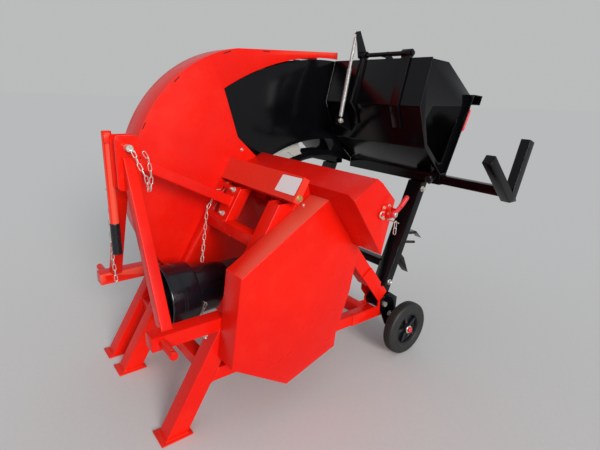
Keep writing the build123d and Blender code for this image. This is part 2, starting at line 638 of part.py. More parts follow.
def pulley(y, z, radius, bore, x_mid):
    """V-belt pulley with one groove for each belt and a thinner web."""
    half = BELTS * BELT_PITCH / 2 + PULLEY_SIDE
    rim, root, depth = GROOVE
    body = disc(y, z, radius, x_mid - half, x_mid + half)
    for i in range(BELTS):
        x = x_mid + (i - (BELTS - 1) / 2) * BELT_PITCH
        groove = [(x - rim, radius + 1), (x - root, radius - depth),
                  (x + root, radius - depth), (x + rim, radius + 1)]
        face = make_face(Polyline(*groove, close=True))
        body -= Pos(0, y, z) * revolve(face, Axis.X)
    if radius > 4 * bore:
        for x0, x1 in ((x_mid - half - 1, x_mid - WEB_HALF), (x_mid + WEB_HALF, x_mid + half + 1)):
            body -= ring(y, z, radius - PULLEY_RIM, bore + HUB_WALL, x0, x1)
    return body - disc(y, z, bore, x_mid - half - 1, x_mid + half + 1)


def belt_loop(x):
    """One belt around both pulleys, seated in the grooves with a small gap."""
    def loop(lift):
        r1, r2 = SAW_PULLEY_R + lift, DRIVE_PULLEY_R + lift
        run = (DRIVE_Y, DRIVE_Z - SHAFT_Z)
        length = hypot(*run)
        base = degrees(atan2(run[1], run[0]))
        swing = degrees(asin((r1 - r2) / length)) + 90
        def at(centre, radius, angle):
            return (centre[0] + radius * cos(radians(angle)), centre[1] + radius * sin(radians(angle)))
        top, low = (0.0, SHAFT_Z), (DRIVE_Y, DRIVE_Z)
        a, b = base + swing, base - swing
        return make_face([ThreePointArc(at(top, r1, a), at(top, r1, base + 180), at(top, r1, b)),
                          Line(at(top, r1, b), at(low, r2, b)),
                          ThreePointArc(at(low, r2, b), at(low, r2, base), at(low, r2, a)),
                          Line(at(low, r2, a), at(top, r1, a))])
    face = loop(BELT_LIFT) - loop(BELT_LIFT - BELT_H)
    return extrude(Plane.YZ.offset(x - BELT_W / 2 + BELT_TUCK) * face, amount=BELT_W - 2 * BELT_TUCK)


def saw_rotor():
    shaft = disc(0, SHAFT_Z, SHAFT_R, SHAFT_X0, SHAFT_X1)
    keep("saw_shaft", chamfer(shaft.edges().filter_by(GeomType.CIRCLE), PIN_CHAMFER))
    pitch = 2 * pi / TEETH
    points = []
    for i in range(TEETH):
        for share, radius in TOOTH:
            angle = (i + share) * pitch
            points.append((radius * cos(angle), radius * sin(angle)))
    blade = extrude(Plane((-BLADE_T / 2, 0, SHAFT_Z), x_dir=(0, 1, 0), z_dir=(1, 0, 0))
                    * (make_face(Polyline(*points, close=True)) - Circle(SHAFT_R)), amount=BLADE_T)
    keep("saw_blade", blade)
    flanges = [ring(0, SHAFT_Z, FLANGE_R, SHAFT_R, *ends) for ends in
               ((-BLADE_T / 2 - FLANGE_T, -BLADE_T / 2), (BLADE_T / 2, BLADE_T / 2 + FLANGE_T))]
    keep("blade_clamp", *flanges)
    x1 = -BLADE_T / 2 - FLANGE_T
    nut = extrude(Plane((x1 - NUT_T, 0, SHAFT_Z), x_dir=(0, 1, 0), z_dir=(1, 0, 0))
                  * (RegularPolygon(NUT_AF / 2, 6, major_radius=False) - Circle(SHAFT_R)), amount=NUT_T)
    keep("blade_clamp", nut)
    keep("saw_pulley", pulley(0, SHAFT_Z, SAW_PULLEY_R, SHAFT_R, BELT_MID_X))


def bearings():
    """Two pillow blocks on the back of the beam, each with a hanger plate below the beam."""
    body_r = -BEAM_Y1 - FLAT_GAP
    half, hanger = BEARING_W / 2, HANGER_W / 2
    for x in BEARING_X:
        keep("bearing_hangers", block(x - hanger, x + hanger, BEAM_Y1 - HANGER_T, BEAM_Y1, SHAFT_Z - HANGER_LOW,
                                      BEAM_Z0))
        body = disc(0, SHAFT_Z, body_r, x - half, x + half)
        foot = block(x - half, x + half, BEAM_Y1, 0, SHAFT_Z - BEARING_H, SHAFT_Z + BEARING_H)
        bore = disc(0, SHAFT_Z, SHAFT_R + PIN_FIT, x - half - 1, x + half + 1)
        keep("bearings", (body + foot) - bore)


def drive():
    hx, hy, hz = GEARBOX
    body = block(PTO_X - hx, PTO_X + hx, DRIVE_Y - hy, DRIVE_Y + hy, DRIVE_Z - hz, DRIVE_Z + hz)
    body = fillet(body.edges().filter_by(Axis.Z), GEARBOX_EDGE_R)
    body += disc(DRIVE_Y, DRIVE_Z, SNOUT_R, PTO_X + hx, PTO_X + hx + SNOUT)
    body -= disc(DRIVE_Y, DRIVE_Z, DRIVE_SHAFT_R + PIN_FIT, PTO_X + SHAFT_PAST - BLIND, PTO_X + hx + 2 * SNOUT)
    body -= round_bar((PTO_X, DRIVE_Y - 2 * hy, DRIVE_Z), (PTO_X, DRIVE_Y - PTO_PAST + BLIND, DRIVE_Z),
                      PTO_TANG_R + PIN_FIT)
    keep("gearbox", body)
    keep("gearbox_stand", block(PTO_X - hx + FOOT_EDGE, PTO_X + hx - FOOT_EDGE, DRIVE_Y - DRIVE_RAIL / 2,
                                DRIVE_Y + DRIVE_RAIL / 2, RAIL_Z + RAIL / 2, DRIVE_Z - hz))
    keep("drive_shaft", disc(DRIVE_Y, DRIVE_Z, DRIVE_SHAFT_R, PTO_X + SHAFT_PAST, BELT_MID_X + SHAFT_OUT))
    keep("drive_pulley", pulley(DRIVE_Y, DRIVE_Z, DRIVE_PULLEY_R, DRIVE_SHAFT_R, BELT_MID_X))
    xs = [BELT_MID_X + (i - (BELTS - 1) / 2) * BELT_PITCH for i in range(BELTS)]
    keep("belts", *[belt_loop(x) for x in xs])
    stub = round_bar((PTO_X, PTO_FRONT_Y, DRIVE_Z), (PTO_X, PTO_SHOULDER_Y, DRIVE_Z), PTO_R)
    stub += round_bar((PTO_X, PTO_SHOULDER_Y, DRIVE_Z), (PTO_X, DRIVE_Y - PTO_PAST, DRIVE_Z), PTO_TANG_R)
    keep("pto_stub", stub)


def turned_shell(profile):
    """Shell around the input shaft from (y, radius) points of its outside."""
    inner = [(y, r - SHIELD_WALL) for y, r in profile]
    face = make_face(Polyline(*[(r, y, 0) for y, r in profile + inner[::-1]], close=True))
    return Pos(PTO_X, 0, DRIVE_Z) * revolve(face, Axis.Y)


def pto_shield():
    """Wide front bell, narrower barrel, and a neck closed at the gearbox by a wall with a hole."""
    keep("pto_shield", turned_shell(SHIELD_BELL), turned_shell(SHIELD_BARREL))
    back_y, back_r = SHIELD_NECK[-1]
    back = Plane((PTO_X, back_y, DRIVE_Z), x_dir=(1, 0, 0), z_dir=(0, 1, 0))
    face = back * (Circle(back_r) - Circle(PTO_R + SHIELD_HOLE_GAP))
    wall = extrude(face, amount=DRIVE_Y - GEARBOX[1] - back_y)
    keep("pto_shield", turned_shell(SHIELD_NECK) + wall)


def cradle_sheets():
    """Slotted sheets either side of the blade, swinging inside the guard."""
    tipped = around_pivot(SHAFT_SWING, pivot_angle(0, SHAFT_Z) - TIP_ANGLE)
    outer = Pos(PIVOT_Y, PIVOT_Z) * (Circle(SHEET_R) - Circle(SHEET_INNER_R))
    inside_guard = Pos(*tipped) * Circle(GUARD_R - SHEET_RIM_GAP)
    left_of_wall = make_face(Polyline(*TROUGH[:4], (TROUGH[3][0], 0), (-SHEET_R, 0), (-SHEET_R, 2 * SHEET_R),
                                      (TROUGH[0][0], 2 * SHEET_R), close=True))
    at_rest = pivot_angle(0, SHAFT_Z)
    slot = arc_slot(SHAFT_SWING, SLOT_HALF, at_rest - TIP_ANGLE - SLOT_AFTER, at_rest + SLOT_BEFORE)
    face = (outer & inside_guard & left_of_wall) - slot
    for x in (SHEET_X - SHEET_T / 2, -SHEET_X - SHEET_T / 2):
        keep("cradle_sheets", largest(extrude(Plane.YZ.offset(x) * face, amount=SHEET_T)))


def arc_slot(radius, half, start, end):
    """Slot with round ends along an arc about the cradle pivot."""
    a, b = around_pivot(radius - half, start), around_pivot(radius + half, start)
    c, d = around_pivot(radius + half, end), around_pivot(radius - half, end)
    mid = (start + end) / 2
    over = degrees(half / radius)
    return make_face([ThreePointArc(a, around_pivot(radius, start - over), b),
                      ThreePointArc(b, around_pivot(radius + half, mid), c),
                      ThreePointArc(c, around_pivot(radius, end + over), d),
                      ThreePointArc(d, around_pivot(radius - half, mid), a)])


def cradle():
    face_x = SHEET_X + SHEET_T / 2
    keep("trough_right", folded(TROUGH, TROUGH_T, face_x, TROUGH_X1))
    keep("trough_left", folded(TROUGH, TROUGH_T, TROUGH_X0, -face_x))
    inner = beside(TROUGH, TROUGH_T)[:6]
    plate = prism(inner + END_PLATE_TOP[1:], END_PLATE_X, END_PLATE_X + SHEET_T)
    keep("trough_end_plate", plate - prism(LOG_PORT, END_PLATE_X - 1, END_PLATE_X + SHEET_T + 1))
    for x0, x1 in ((TROUGH_X0, -face_x), (face_x, TROUGH_X1)):
        socket = tube((x0, SOCKET_Y, SOCKET_Z), (x1, SOCKET_Y, SOCKET_Z), SOCKET, SOCKET, SOCKET_WALL,
                      side=(0, 1, 0))
        if x0 < 0:
            keep("rest_socket", socket)
    nut_y = SOCKET_Y - SOCKET / 2
    nut = block(KNOB_X - KNOB_NUT, KNOB_X + KNOB_NUT, nut_y - KNOB_NUT, nut_y, SOCKET_Z - KNOB_NUT,
                SOCKET_Z + KNOB_NUT)
    bore = round_bar((KNOB_X, nut_y - 2 * KNOB_NUT, SOCKET_Z), (KNOB_X, SOCKET_Y, SOCKET_Z),
                     KNOB_STEM_R + PIN_FIT)
    keep("rest_socket", (socket + nut) - bore)
    bottom = SOCKET_Z - SOCKET / 2
    for face, inward in side_frames():
        x = face + inward * (FLAT_GAP + COLUMN_W / 2)
        top_z = bottom + SOCKET
        column = tube((x, PIVOT_Y, PIVOT_Z), (x, column_y(top_z), top_z), COLUMN_W, COLUMN_D, COLUMN_WALL)
        column -= block(x - COLUMN_W, x + COLUMN_W, PIVOT_Y, 2 * PIVOT_Y, bottom, bottom + 4 * SOCKET)
        boss = disc(PIVOT_Y, PIVOT_Z, COLUMN_BOSS_R, x - COLUMN_W / 2, x + COLUMN_W / 2)
        bore = disc(PIVOT_Y, PIVOT_Z, PIVOT_PIN_R + PIN_FIT, x - COLUMN_W, x + COLUMN_W)
        keep("cradle_columns", largest((column + boss) - bore))
    ends = [face + inward * (FLAT_GAP + COLUMN_W) for face, inward in side_frames()]
    keep("cradle_cross_tube", tube((min(ends), CROSS_TUBE_Y, CROSS_TUBE_Z),
                                   (max(ends), CROSS_TUBE_Y, CROSS_TUBE_Z),
                                   CROSS_TUBE, CROSS_TUBE, COLUMN_WALL, side=(0, 1, 0)))


def cradle_handle():
    """Red pull handle under the lip on the operator's side."""
    foot, top = TROUGH[4], TROUGH[5]
    slope = (top[0] - foot[0], top[1] - foot[1])
    out = (slope[1] / hypot(*slope), -slope[0] / hypot(*slope))
    feet = [(foot[0] + slope[0] * s, foot[1] + slope[1] * s) for s in PULL_SPAN]
    x = TROUGH_X1 - PULL_IN
    far = [(y + out[0] * PULL_OUT, z + out[1] * PULL_OUT) for y, z in feet]
    path = [feet[0], *far, feet[1]]
    wire = FilletPolyline(*[(x, y, z) for y, z in path], radius=PULL_BEND)
    start = Plane(origin=wire @ 0, z_dir=wire % 0)
    keep("cradle_handle", sweep(start * Circle(PULL_R), path=wire))


def log_rest():
    keep("log_rest", tube((REST_X0, SOCKET_Y, SOCKET_Z), (REST_X1 - REST, SOCKET_Y, SOCKET_Z), REST, REST,
                           REST_WALL, side=(0, 1, 0)))
    y, z = REST_FOOT
    x = REST_X1 - REST / 2
    arms = []
    for dy, dz in REST_ARMS:
        arms.append(bar((x, y - dy * REST_ROOT, z - dz * REST_ROOT), (x, y + dy, z + dz), REST, REST))
    reach = 2 * REST_ARMS[1][1]
    above = block(x - REST, x + REST, y - reach, y + reach, z - REST_LOW, z + reach)
    keep("log_rest", (arms[0] + arms[1]) & above)


def clamp_knob():
    nut_face = SOCKET_Y - SOCKET / 2 - KNOB_NUT
    near, far = KNOB_GRIP
    stem = round_bar((KNOB_X, nut_face - near, SOCKET_Z), (KNOB_X, SOCKET_Y - REST / 2 - FLAT_GAP, SOCKET_Z),
                     KNOB_STEM_R)
    grip = round_bar((KNOB_X, nut_face - far, SOCKET_Z), (KNOB_X, nut_face - near, SOCKET_Z), KNOB_R)
    keep("clamp_knob", stem + chamfer(grip.edges().filter_by(GeomType.CIRCLE), KNOB_EDGE))


def hinge_straps():
    """Straps bent round the trough wall, and the hinge shaft in their eyes."""
    wall = TROUGH[:3]
    low = tuple(b + (a - b) * STRAP_SHORT for a, b in zip(wall[1], wall[2]))
    for x0, x1 in STRAPS_X:
        strap = folded([low, wall[1], wall[0]], STRAP_T, x0, x1)
        neck = block(x0, x1, TROUGH[0][0] - STRAP_T, HINGE_Y + STRAP_T / 2 + 1, TROUGH[0][1], HINGE_Z)
        eye = disc(HINGE_Y, HINGE_Z, HINGE_EYE_R, x0, x1)
        bore = disc(HINGE_Y, HINGE_Z, HINGE_R + PIN_FIT, x0 - 1, x1 + 1)
        keep("hinge_straps", (strap + neck + eye) - bore)
    keep("clamp_shaft", disc(HINGE_Y, HINGE_Z, HINGE_R, LEVER_X, HINGE_END_X))


def hold_down_lever():
    """Lever plate for the strut at one end of the hinge shaft, and the toothed claw along it."""
    tip_y, tip_z = LEVER_TIP
    lever = prism([(tip_y - 13, tip_z + 4), (tip_y + 12, tip_z + 10), (HINGE_Y + 50, HINGE_Z - 10),
                   (HINGE_Y - 16, HINGE_Z - 14)], LEVER_X, LEVER_X + PLATE)
    lever -= disc(HINGE_Y, HINGE_Z, HINGE_R, LEVER_X - PLATE, LEVER_X + 2 * PLATE)
    keep("clamp_lever", lever + disc(tip_y, tip_z, STRUT_PIN_R, STRUT_X - 2 * STRUT_PIN_R, LEVER_X))
    jaw = [(HINGE_Y - 16, HINGE_Z - 12), (HINGE_Y + 12, HINGE_Z - 14), (HINGE_Y + 66, HINGE_Z - 86)]
    for i in range(CLAW_TEETH):
        y = HINGE_Y + 70 + i * CLAW_PITCH
        z = HINGE_Z - 150 - i * CLAW_DROP
        jaw += [(y, z), (y + CLAW_PITCH / 2, z - CLAW_TOOTH)]
    jaw += [(HINGE_Y + 176, HINGE_Z - 170), (HINGE_Y + 120, HINGE_Z - 60), (HINGE_Y + 20, HINGE_Z + 14)]
    claw = prism(jaw, CLAW_X, CLAW_X + CLAW_T)
    keep("clamp_lever", claw - disc(HINGE_Y, HINGE_Z, HINGE_R, CLAW_X - CLAW_T, CLAW_X + 2 * CLAW_T))


def strut():
    """Spring strut from a stud on the trough wall to the tip of the lever."""
    foot, top = Vector(STRUT_X, *STRUT_FOOT), Vector(STRUT_X, *LEVER_TIP)
    length = (top - foot).length

    def mark(distance):
        return tuple(foot + (top - foot) * (distance / length))

    half = STRUT_EYE_W / 2
    body = round_bar(mark(STRUT_EYE_R - 1), mark(STRUT_SPLIT * length), STRUT_R)
    body += disc(*STRUT_FOOT, STRUT_EYE_R, STRUT_X - half, STRUT_X + half)
    body -= round_bar(mark(STRUT_BORE * length), mark(length), STRUT_ROD_R + 2 * PIN_FIT)
    keep("strut_cylinder", body - disc(*STRUT_FOOT, STUD_R + PIN_FIT, STRUT_X - STRUT_R, STRUT_X + STRUT_R))
    end = mark(length - STRUT_EYE_R + 3)
    rod = round_bar(mark(STRUT_ROD * length), end, STRUT_ROD_R)
    rod += round_bar(mark((STRUT_SPLIT + 0.03) * length), end, STRUT_SLEEVE_R)
    rod += disc(*LEVER_TIP, STRUT_EYE_R - 1, STRUT_X - half + 1, STRUT_X + half - 1)
    keep("strut_rod", rod - disc(*LEVER_TIP, STRUT_HOOK_R, STRUT_X - STRUT_R, STRUT_X + STRUT_R))
    strut_lug()


def strut_lug():
    share = (TROUGH[1][1] - STRUT_FOOT[1]) / (TROUGH[1][1] - TROUGH[2][1])
    wall_y = TROUGH[1][0] + (TROUGH[2][0] - TROUGH[1][0]) * share
    y, z = STRUT_FOOT
    x0, x1 = STRUT_X - LUG_X[0], STRUT_X - LUG_X[1]
    lug = prism([(y - 2 * STUD_R, z - 2 * STUD_R), (wall_y + 60, z - 70), (wall_y + 20, z + 60),
                 (y - 2 * STUD_R, z + 2 * STUD_R)], x0, x1)
    far = TROUGH[6][0]
    behind_wall = prism(TROUGH[:4] + [(far, TROUGH[3][1]), (far, TROUGH[0][1])], x0 - 1, x1 + 1)
    keep("hinge_straps", largest(lug - behind_wall) + disc(y, z, STUD_R, x1, STRUT_X + LUG_X[1]))


def wheels():
    half = WHEEL_W / 2
    for (face, inward), name in zip(side_frames(), ("right", "left")):
        out = -inward
        side = face + out * PLATE
        x0, x1 = sorted((side, side + out * PLATE))
        plate = prism(WHEEL_BRACKET, x0, x1)
        keep("wheel_brackets", plate - disc(PIVOT_Y, PIVOT_Z, PIVOT_PIN_R, x0 - 1, x1 + 1))
        mid = face + out * WHEEL_OUT
        ends = sorted((side + out * PLATE, mid + out * (half + AXLE_OUT)))
        keep("frame_pins", disc(WHEEL_Y, WHEEL_R, AXLE_R, *ends))
        tyre = disc(WHEEL_Y, WHEEL_R, WHEEL_R, mid - half, mid + half)
        tyre = chamfer(tyre.edges().filter_by(GeomType.CIRCLE), *TYRE_SHOULDER)
        keep("tyre_" + name, tyre - disc(WHEEL_Y, WHEEL_R, WHEEL_RIM_R, mid - half - 1, mid + half + 1))
        rim = disc(WHEEL_Y, WHEEL_R, WHEEL_RIM_R, mid - half + PLATE, mid + half - PLATE)
        for x0, x1 in ((mid - half, mid - RIM_WEB / 2), (mid + RIM_WEB / 2, mid + half)):
            rim -= ring(WHEEL_Y, WHEEL_R, WHEEL_RIM_R - RIM_WALL, HUB_R + 2, x0, x1)
        rim += disc(WHEEL_Y, WHEEL_R, HUB_R, mid - half - 2, mid + half + 2)
        keep("rim_" + name, rim - disc(WHEEL_Y, WHEEL_R, AXLE_R + PIN_FIT, mid - WHEEL_W, mid + WHEEL_W))


def transport_handle():
    """Towing handle that hangs beside the mast."""
    ear_x = MAST_X - MAST_GAP / 2 - MAST_PLATE_T
    x, y = ear_x - TOW_OFF, TOW_Y
    pivot_z = TOW_TOP - TOW_PIN_DROP
    body = round_bar((x, y, TOW_LOW), (x, y, TOW_TOP), TOW_R)
    body -= round_bar((x, y, TOW_LOW - 1), (x, y, TOW_TOP - TUBE_WALL), TOW_BORE_R)
    body += disc(y, pivot_z, TOW_EAR[0], x - TOW_BORE_R, x + TOW_BORE_R)
    keep("transport_handle", body - disc(y, pivot_z, TOW_PIN_R + PIN_FIT, x - 2 * TOW_R, x + 2 * TOW_R))
    grip = round_bar((x, y, TOW_GRIP_LOW), (x, y, TOW_LOW), TOW_GRIP_R)
    keep("handle_grip", grip - round_bar((x, y, TOW_GRIP_BORE_LOW), (x, y, TOW_LOW + 1), TOW_BORE_R))
    near = x + TOW_R + FLAT_GAP
    front, back = TOW_EAR
    ear = block(near, ear_x, y - front, y + back, pivot_z - front, pivot_z + front)
    keep("mast_plates", ear + disc(y, pivot_z, TOW_PIN_R, x - TOW_OFF, near))


def latch():
    """Toggle latch on the end of the hood."""
    x, y, z = HOOD_X1 + LATCH_ARM_X, LATCH_Y, LATCH_Z
    plate = block(HOOD_X1, HOOD_X1 + PLATE, y - 34, y + 22, z - 26, z + 30)
    jaw = block(HOOD_X1 + PLATE, x - 8, y - 8, y + 14, z - 16, z + 16)
    keep("latch_base", plate + jaw + disc(y, z, LATCH_PIN_R, x - 8, x + 12))
    elbow = (x, y + LATCH_ARM[0], z + LATCH_ARM[1])
    arm = bar((x, y, z), elbow, 8, 16) + disc(y, z, 14, x - PLATE, x + PLATE)
    arm -= disc(y, z, LATCH_PIN_R + PIN_FIT, x - LATCH_ARM_X, x + LATCH_ARM_X)
    grip = round_bar(elbow, (x, y + LATCH_GRIP[0], z + LATCH_GRIP[1]), LATCH_GRIP_R)
    keep("latch_lever", arm, largest(grip - arm))


def chain_link(centre, along, flat):
    """Closed link of flat stock, its long side along the chain."""
    plane = Plane(centre, x_dir=along, z_dir=flat)
    outline = six_sided(LINK_LONG, LINK_WIDE) - six_sided(LINK_LONG - 2 * LINK_WIRE, LINK_WIDE - 2 * LINK_WIRE)
    return extrude(plane * outline, amount=LINK_WIRE / 2, both=True)


def six_sided(long, wide):
    """Slot with pointed ends, standing for the rounded ends of a link."""
    shoulder = (long - wide / 2) / 2
    tip = long / 2
    corners = [(shoulder, wide / 2), (tip, wide / 5), (tip, -wide / 5), (shoulder, -wide / 2)]
    return make_face(Polyline(*corners, *[(-x, y) for x, y in corners[::-1]], close=True))


def chain(points, carrier):
    """Links along a line of points, every second one turned a quarter round."""
    pitch = LINK_LONG - 2 * LINK_WIRE - ROUND_GAP
    path = [Vector(*p) for p in points]
    links, left, turned = [], pitch / 2, False
    across = Vector(*carrier)
    for a, b in zip(path, path[1:]):
        run = b - a
        along = run.normalized()
        flat_side = (across - along * across.dot(along)).normalized()
        while left <= run.length:
            flat = along.cross(flat_side) if turned else flat_side
            links.append(chain_link(a + along * left, along, flat))
            left += pitch
            turned = not turned
        left -= run.length
    return links


def chains():
    """Each chain hangs from a short bar that stands on the piece carrying it."""
    for points, carrier, face in CHAINS:
        top, across = Vector(*points[0]), Vector(*carrier)
        inside_link = EYE_R + ROUND_GAP
        down = (Vector(*points[1]) - top).normalized()
        spot = top + down * inside_link
        start = spot - across * (spot.dot(across) - face * (across.X + across.Y))
        keep("chains", round_bar(tuple(start), tuple(spot + across * LINK_WIDE), EYE_R))
        keep("chains", *chain(points, carrier))


def bolt(centre, axis):
    """Hexagon head on a washer, standing on a face."""
    out = Vector(*axis)
    washer = extrude(Plane(centre, z_dir=out) * Circle(WASHER_R), amount=WASHER_T)
    lift = Plane(Vector(*centre) + out * WASHER_T, z_dir=out)
    return washer + extrude(lift * RegularPolygon(BOLT_CORNER_R, 6), amount=BOLT_HEAD)


def bolts():
    places = [((RIGHT_X + 2 * PLATE, 462.0, 173.0), (1, 0, 0)),
              ((RIGHT_X - LEG / 2, leg_y(LINK_Z) - 100, LINK_Z - LINK_H / 2), (0, 0, -1)),
              ((BEAM_X1 + SHEET, BEAM_Y0 + 18, BEAM_Z0 + 22), (1, 0, 0)),
              ((GUARD_X, -74.0, 945.0), (1, 0, 0))]
    keep("frame_bolts", *[bolt(*place) for place in places])
    keep("cradle_bolts", *[bolt((RIGHT_X - FLAT_GAP, column_y(z), z), (1, 0, 0)) for z in COLUMN_BOLT_Z])


def shaft_holder():
    """Forked rest on the column where the drive shaft is hung while the machine is parked."""
    x0, x1 = [RIGHT_X - FLAT_GAP - inset for inset in HOLDER_X]
    half = COLUMN_D / 2 / cos(atan2(COLUMN_SLOPE, 1))

    def back(z):
        return column_y(z) + half

    low, high = HOLDER_Z
    plate = prism([(back(low), low), (back(high), high), (back(high) + PLATE, high), (back(low) + PLATE, low)],
                  x0, x1)
    upper = prism([(back(562), 562), (back(572), 572), (632, 566), (682, 520), (640, 553), (590, 556)], x0, x1)
    lower = prism([(back(452), 452), (back(470), 470), (560, 440), (602, 352), (540, 420)], x0, x1)
    mid = (x0 + x1) / 2
    rod = round_bar((mid, back(520), 520), (mid, 650, 500), HOLDER_ROD_R)
    keep("shaft_holder", largest(plate + upper + lower + rod - column_solid(mid)))


def column_solid(x):
    return bar((x, PIVOT_Y, PIVOT_Z), (x, column_y(900), 900), COLUMN_W, COLUMN_D)


def build():
    for make in (legs, lower_frame, gussets, pivot_plates, upper_frame, linkage, mast, blade_guard, hood,
                 belt_guard, saw_rotor, bearings, drive, pto_shield, cradle_sheets, cradle, cradle_handle,
                 log_rest, clamp_knob, hinge_straps, hold_down_lever, strut, wheels, transport_handle, latch,
                 chains, bolts, shaft_holder):
        make()


def base_shift():
    """Moves the model so that its origin is the centre of its footprint."""
    box = Compound(list(PARTS.values())).bounding_box()
    return Pos(-(box.min.X + box.max.X) / 2, -(box.min.Y + box.max.Y) / 2, -box.min.Z)


if __name__ == "__main__":
    build()
    os.makedirs("parts", exist_ok=True)
    shift = base_shift()
    print("origin at", [round(-v, 3) for v in tuple(shift.position)])
    for node, shape in PARTS.items():
        export_step(shift * shape, f"parts/{node}.step")
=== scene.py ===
"""Looks of the circular log saw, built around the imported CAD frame. Metres, +Z up."""
import json
import math

import bmesh
import bpy
from mathutils import Matrix, Vector
from mathutils.bvhtree import BVHTree

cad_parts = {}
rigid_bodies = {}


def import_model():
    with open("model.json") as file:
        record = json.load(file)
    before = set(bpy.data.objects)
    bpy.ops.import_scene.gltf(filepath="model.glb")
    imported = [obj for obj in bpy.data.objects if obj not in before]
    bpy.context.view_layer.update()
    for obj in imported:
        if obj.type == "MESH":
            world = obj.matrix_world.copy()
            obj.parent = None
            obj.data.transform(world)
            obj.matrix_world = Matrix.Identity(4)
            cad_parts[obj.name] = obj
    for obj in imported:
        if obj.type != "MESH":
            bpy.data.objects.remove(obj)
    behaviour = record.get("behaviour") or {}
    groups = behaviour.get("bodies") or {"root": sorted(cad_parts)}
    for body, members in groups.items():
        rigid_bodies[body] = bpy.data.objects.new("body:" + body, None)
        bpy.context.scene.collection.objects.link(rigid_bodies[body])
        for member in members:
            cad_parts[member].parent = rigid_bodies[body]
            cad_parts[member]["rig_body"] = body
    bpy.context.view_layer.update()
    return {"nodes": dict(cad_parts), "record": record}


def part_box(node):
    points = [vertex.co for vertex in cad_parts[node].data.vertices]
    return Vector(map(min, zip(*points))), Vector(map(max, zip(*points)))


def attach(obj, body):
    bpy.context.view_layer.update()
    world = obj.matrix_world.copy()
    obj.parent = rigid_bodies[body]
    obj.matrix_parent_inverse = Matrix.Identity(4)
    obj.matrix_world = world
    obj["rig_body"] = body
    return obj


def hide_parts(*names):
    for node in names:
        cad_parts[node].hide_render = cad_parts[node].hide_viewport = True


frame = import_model()
NODES = frame["nodes"]
SLOTS = {row["node"]: row["material_slot"] for row in frame["record"]["subparts"]}

# The CAD source works about the blade's plane, the saw shaft and the floor, in millimetres, and
# then shifts its origin to the footprint's centre.
ORIGIN = Vector((0.332, 0.102184, 0.0))
SHAFT_Z = 807.0
MM = 1000.0  # millimetres in a metre
AXIS_X, AXIS_Y, AXIS_Z = (1, 0, 0), (0, 1, 0), (0, 0, 1)


def at(x, y, z):
    """A place given in the source's working millimetres, in the row frame."""
    return Vector((x / MM, y / MM, z / MM)) - ORIGIN


# ---------------------------------------------------------------- camera
# Fitted to the photograph: the place, two of the camera's own axes, and the lens.
CAMERA_AT = (1.492, -1.197, 1.210)
CAMERA_RIGHT = (0.6109, 0.7911, 0.0317)
CAMERA_BACK = (0.7508, -0.5916, 0.2939)
LENS_MM = 26.18
SENSOR_MM = 36.0
CLIP_END = 50.0


def make_camera():
    data = bpy.data.cameras.new("view")
    data.lens, data.sensor_width = LENS_MM, SENSOR_MM
    data.clip_end = CLIP_END
    camera = bpy.data.objects.new("view", data)
    bpy.context.scene.collection.objects.link(camera)
    right, back = Vector(CAMERA_RIGHT).normalized(), Vector(CAMERA_BACK).normalized()
    up = back.cross(right)
    turn = Matrix((right, up, back)).transposed().to_4x4()
    camera.matrix_world = Matrix.Translation(CAMERA_AT) @ turn
    bpy.context.scene.camera = camera


# ---------------------------------------------------------------- materials
# Noise scales count cells per metre, and bump distances are metres.
# A Mix node has a row of sockets for each kind of value; these are the ones for colours.
MIX_FACTOR, MIX_FIRST, MIX_SECOND, MIX_RESULT = 0, 6, 7, 2
NOISE_LOW, NOISE_HIGH = 0.3, 0.7  # most of a noise's values lie between these
SHEEN_FROM, SHEEN_FULL, SHEEN_MOST = 0.56, 0.66, 0.45  # pointiness of the edges that take a painted highlight
PLATING_METALLIC = 0.72
BLADE_METALLIC, BLADE_ROUGHNESS = 0.55, 0.36


def new_material(name):
    material = bpy.data.materials.new(name)
    material.use_nodes = True
    tree = material.node_tree
    return material, tree, tree.nodes["Principled BSDF"]


def place(tree):
    """Object coordinates: every piece sits at the origin, so these are metres in the row frame."""
    return tree.nodes.new("ShaderNodeTexCoord").outputs["Object"]


def noise(tree, vector, scale, detail, rough=0.5):
    node = tree.nodes.new("ShaderNodeTexNoise")
    node.inputs["Scale"].default_value = scale
    node.inputs["Detail"].default_value = detail
    node.inputs["Roughness"].default_value = rough
    tree.links.new(vector, node.inputs["Vector"])
    return node.outputs["Fac"]


def span(tree, value, low, high, out_low, out_high):
    """The value's range from low to high, stretched over another range."""
    node = tree.nodes.new("ShaderNodeMapRange")
    for key, number in (("From Min", low), ("From Max", high),
                        ("To Min", out_low), ("To Max", out_high)):
        node.inputs[key].default_value = number
    tree.links.new(value, node.inputs["Value"])
    return node.outputs["Result"]


def patches(tree, where, scale, detail, low, high, most=1.0, rough=0.5):
    """Soft patches of noise: 0 where it is under low, most where it is over high."""
    return span(tree, noise(tree, where, scale, detail, rough), low, high, 0.0, most)


def mix(tree, factor, first, second):
    """A colour between two; each input is a number, a colour or a socket."""
    node = tree.nodes.new("ShaderNodeMix")
    node.data_type = "RGBA"
    for socket, given in ((node.inputs[MIX_FACTOR], factor), (node.inputs[MIX_FIRST], first),
                          (node.inputs[MIX_SECOND], second)):
        if isinstance(given, (int, float)):
            socket.default_value = given
        elif isinstance(given, tuple):
            socket.default_value = (*given, 1.0)
        else:
            tree.links.new(given, socket)
    return node.outputs[MIX_RESULT]


def bump(tree, shader, height, strength, distance):
    node = tree.nodes.new("ShaderNodeBump")
    node.inputs["Strength"].default_value = strength
    node.inputs["Distance"].default_value = distance
    tree.links.new(height, node.inputs["Height"])
    tree.links.new(node.outputs["Normal"], shader.inputs["Normal"])


def uneven_roughness(tree, shader, where, scale, detail, least, most):
    """Roughness that wanders between two values."""
    wander = span(tree, noise(tree, where, scale, detail), NOISE_LOW, NOISE_HIGH, least, most)
    tree.links.new(wander, shader.inputs["Roughness"])


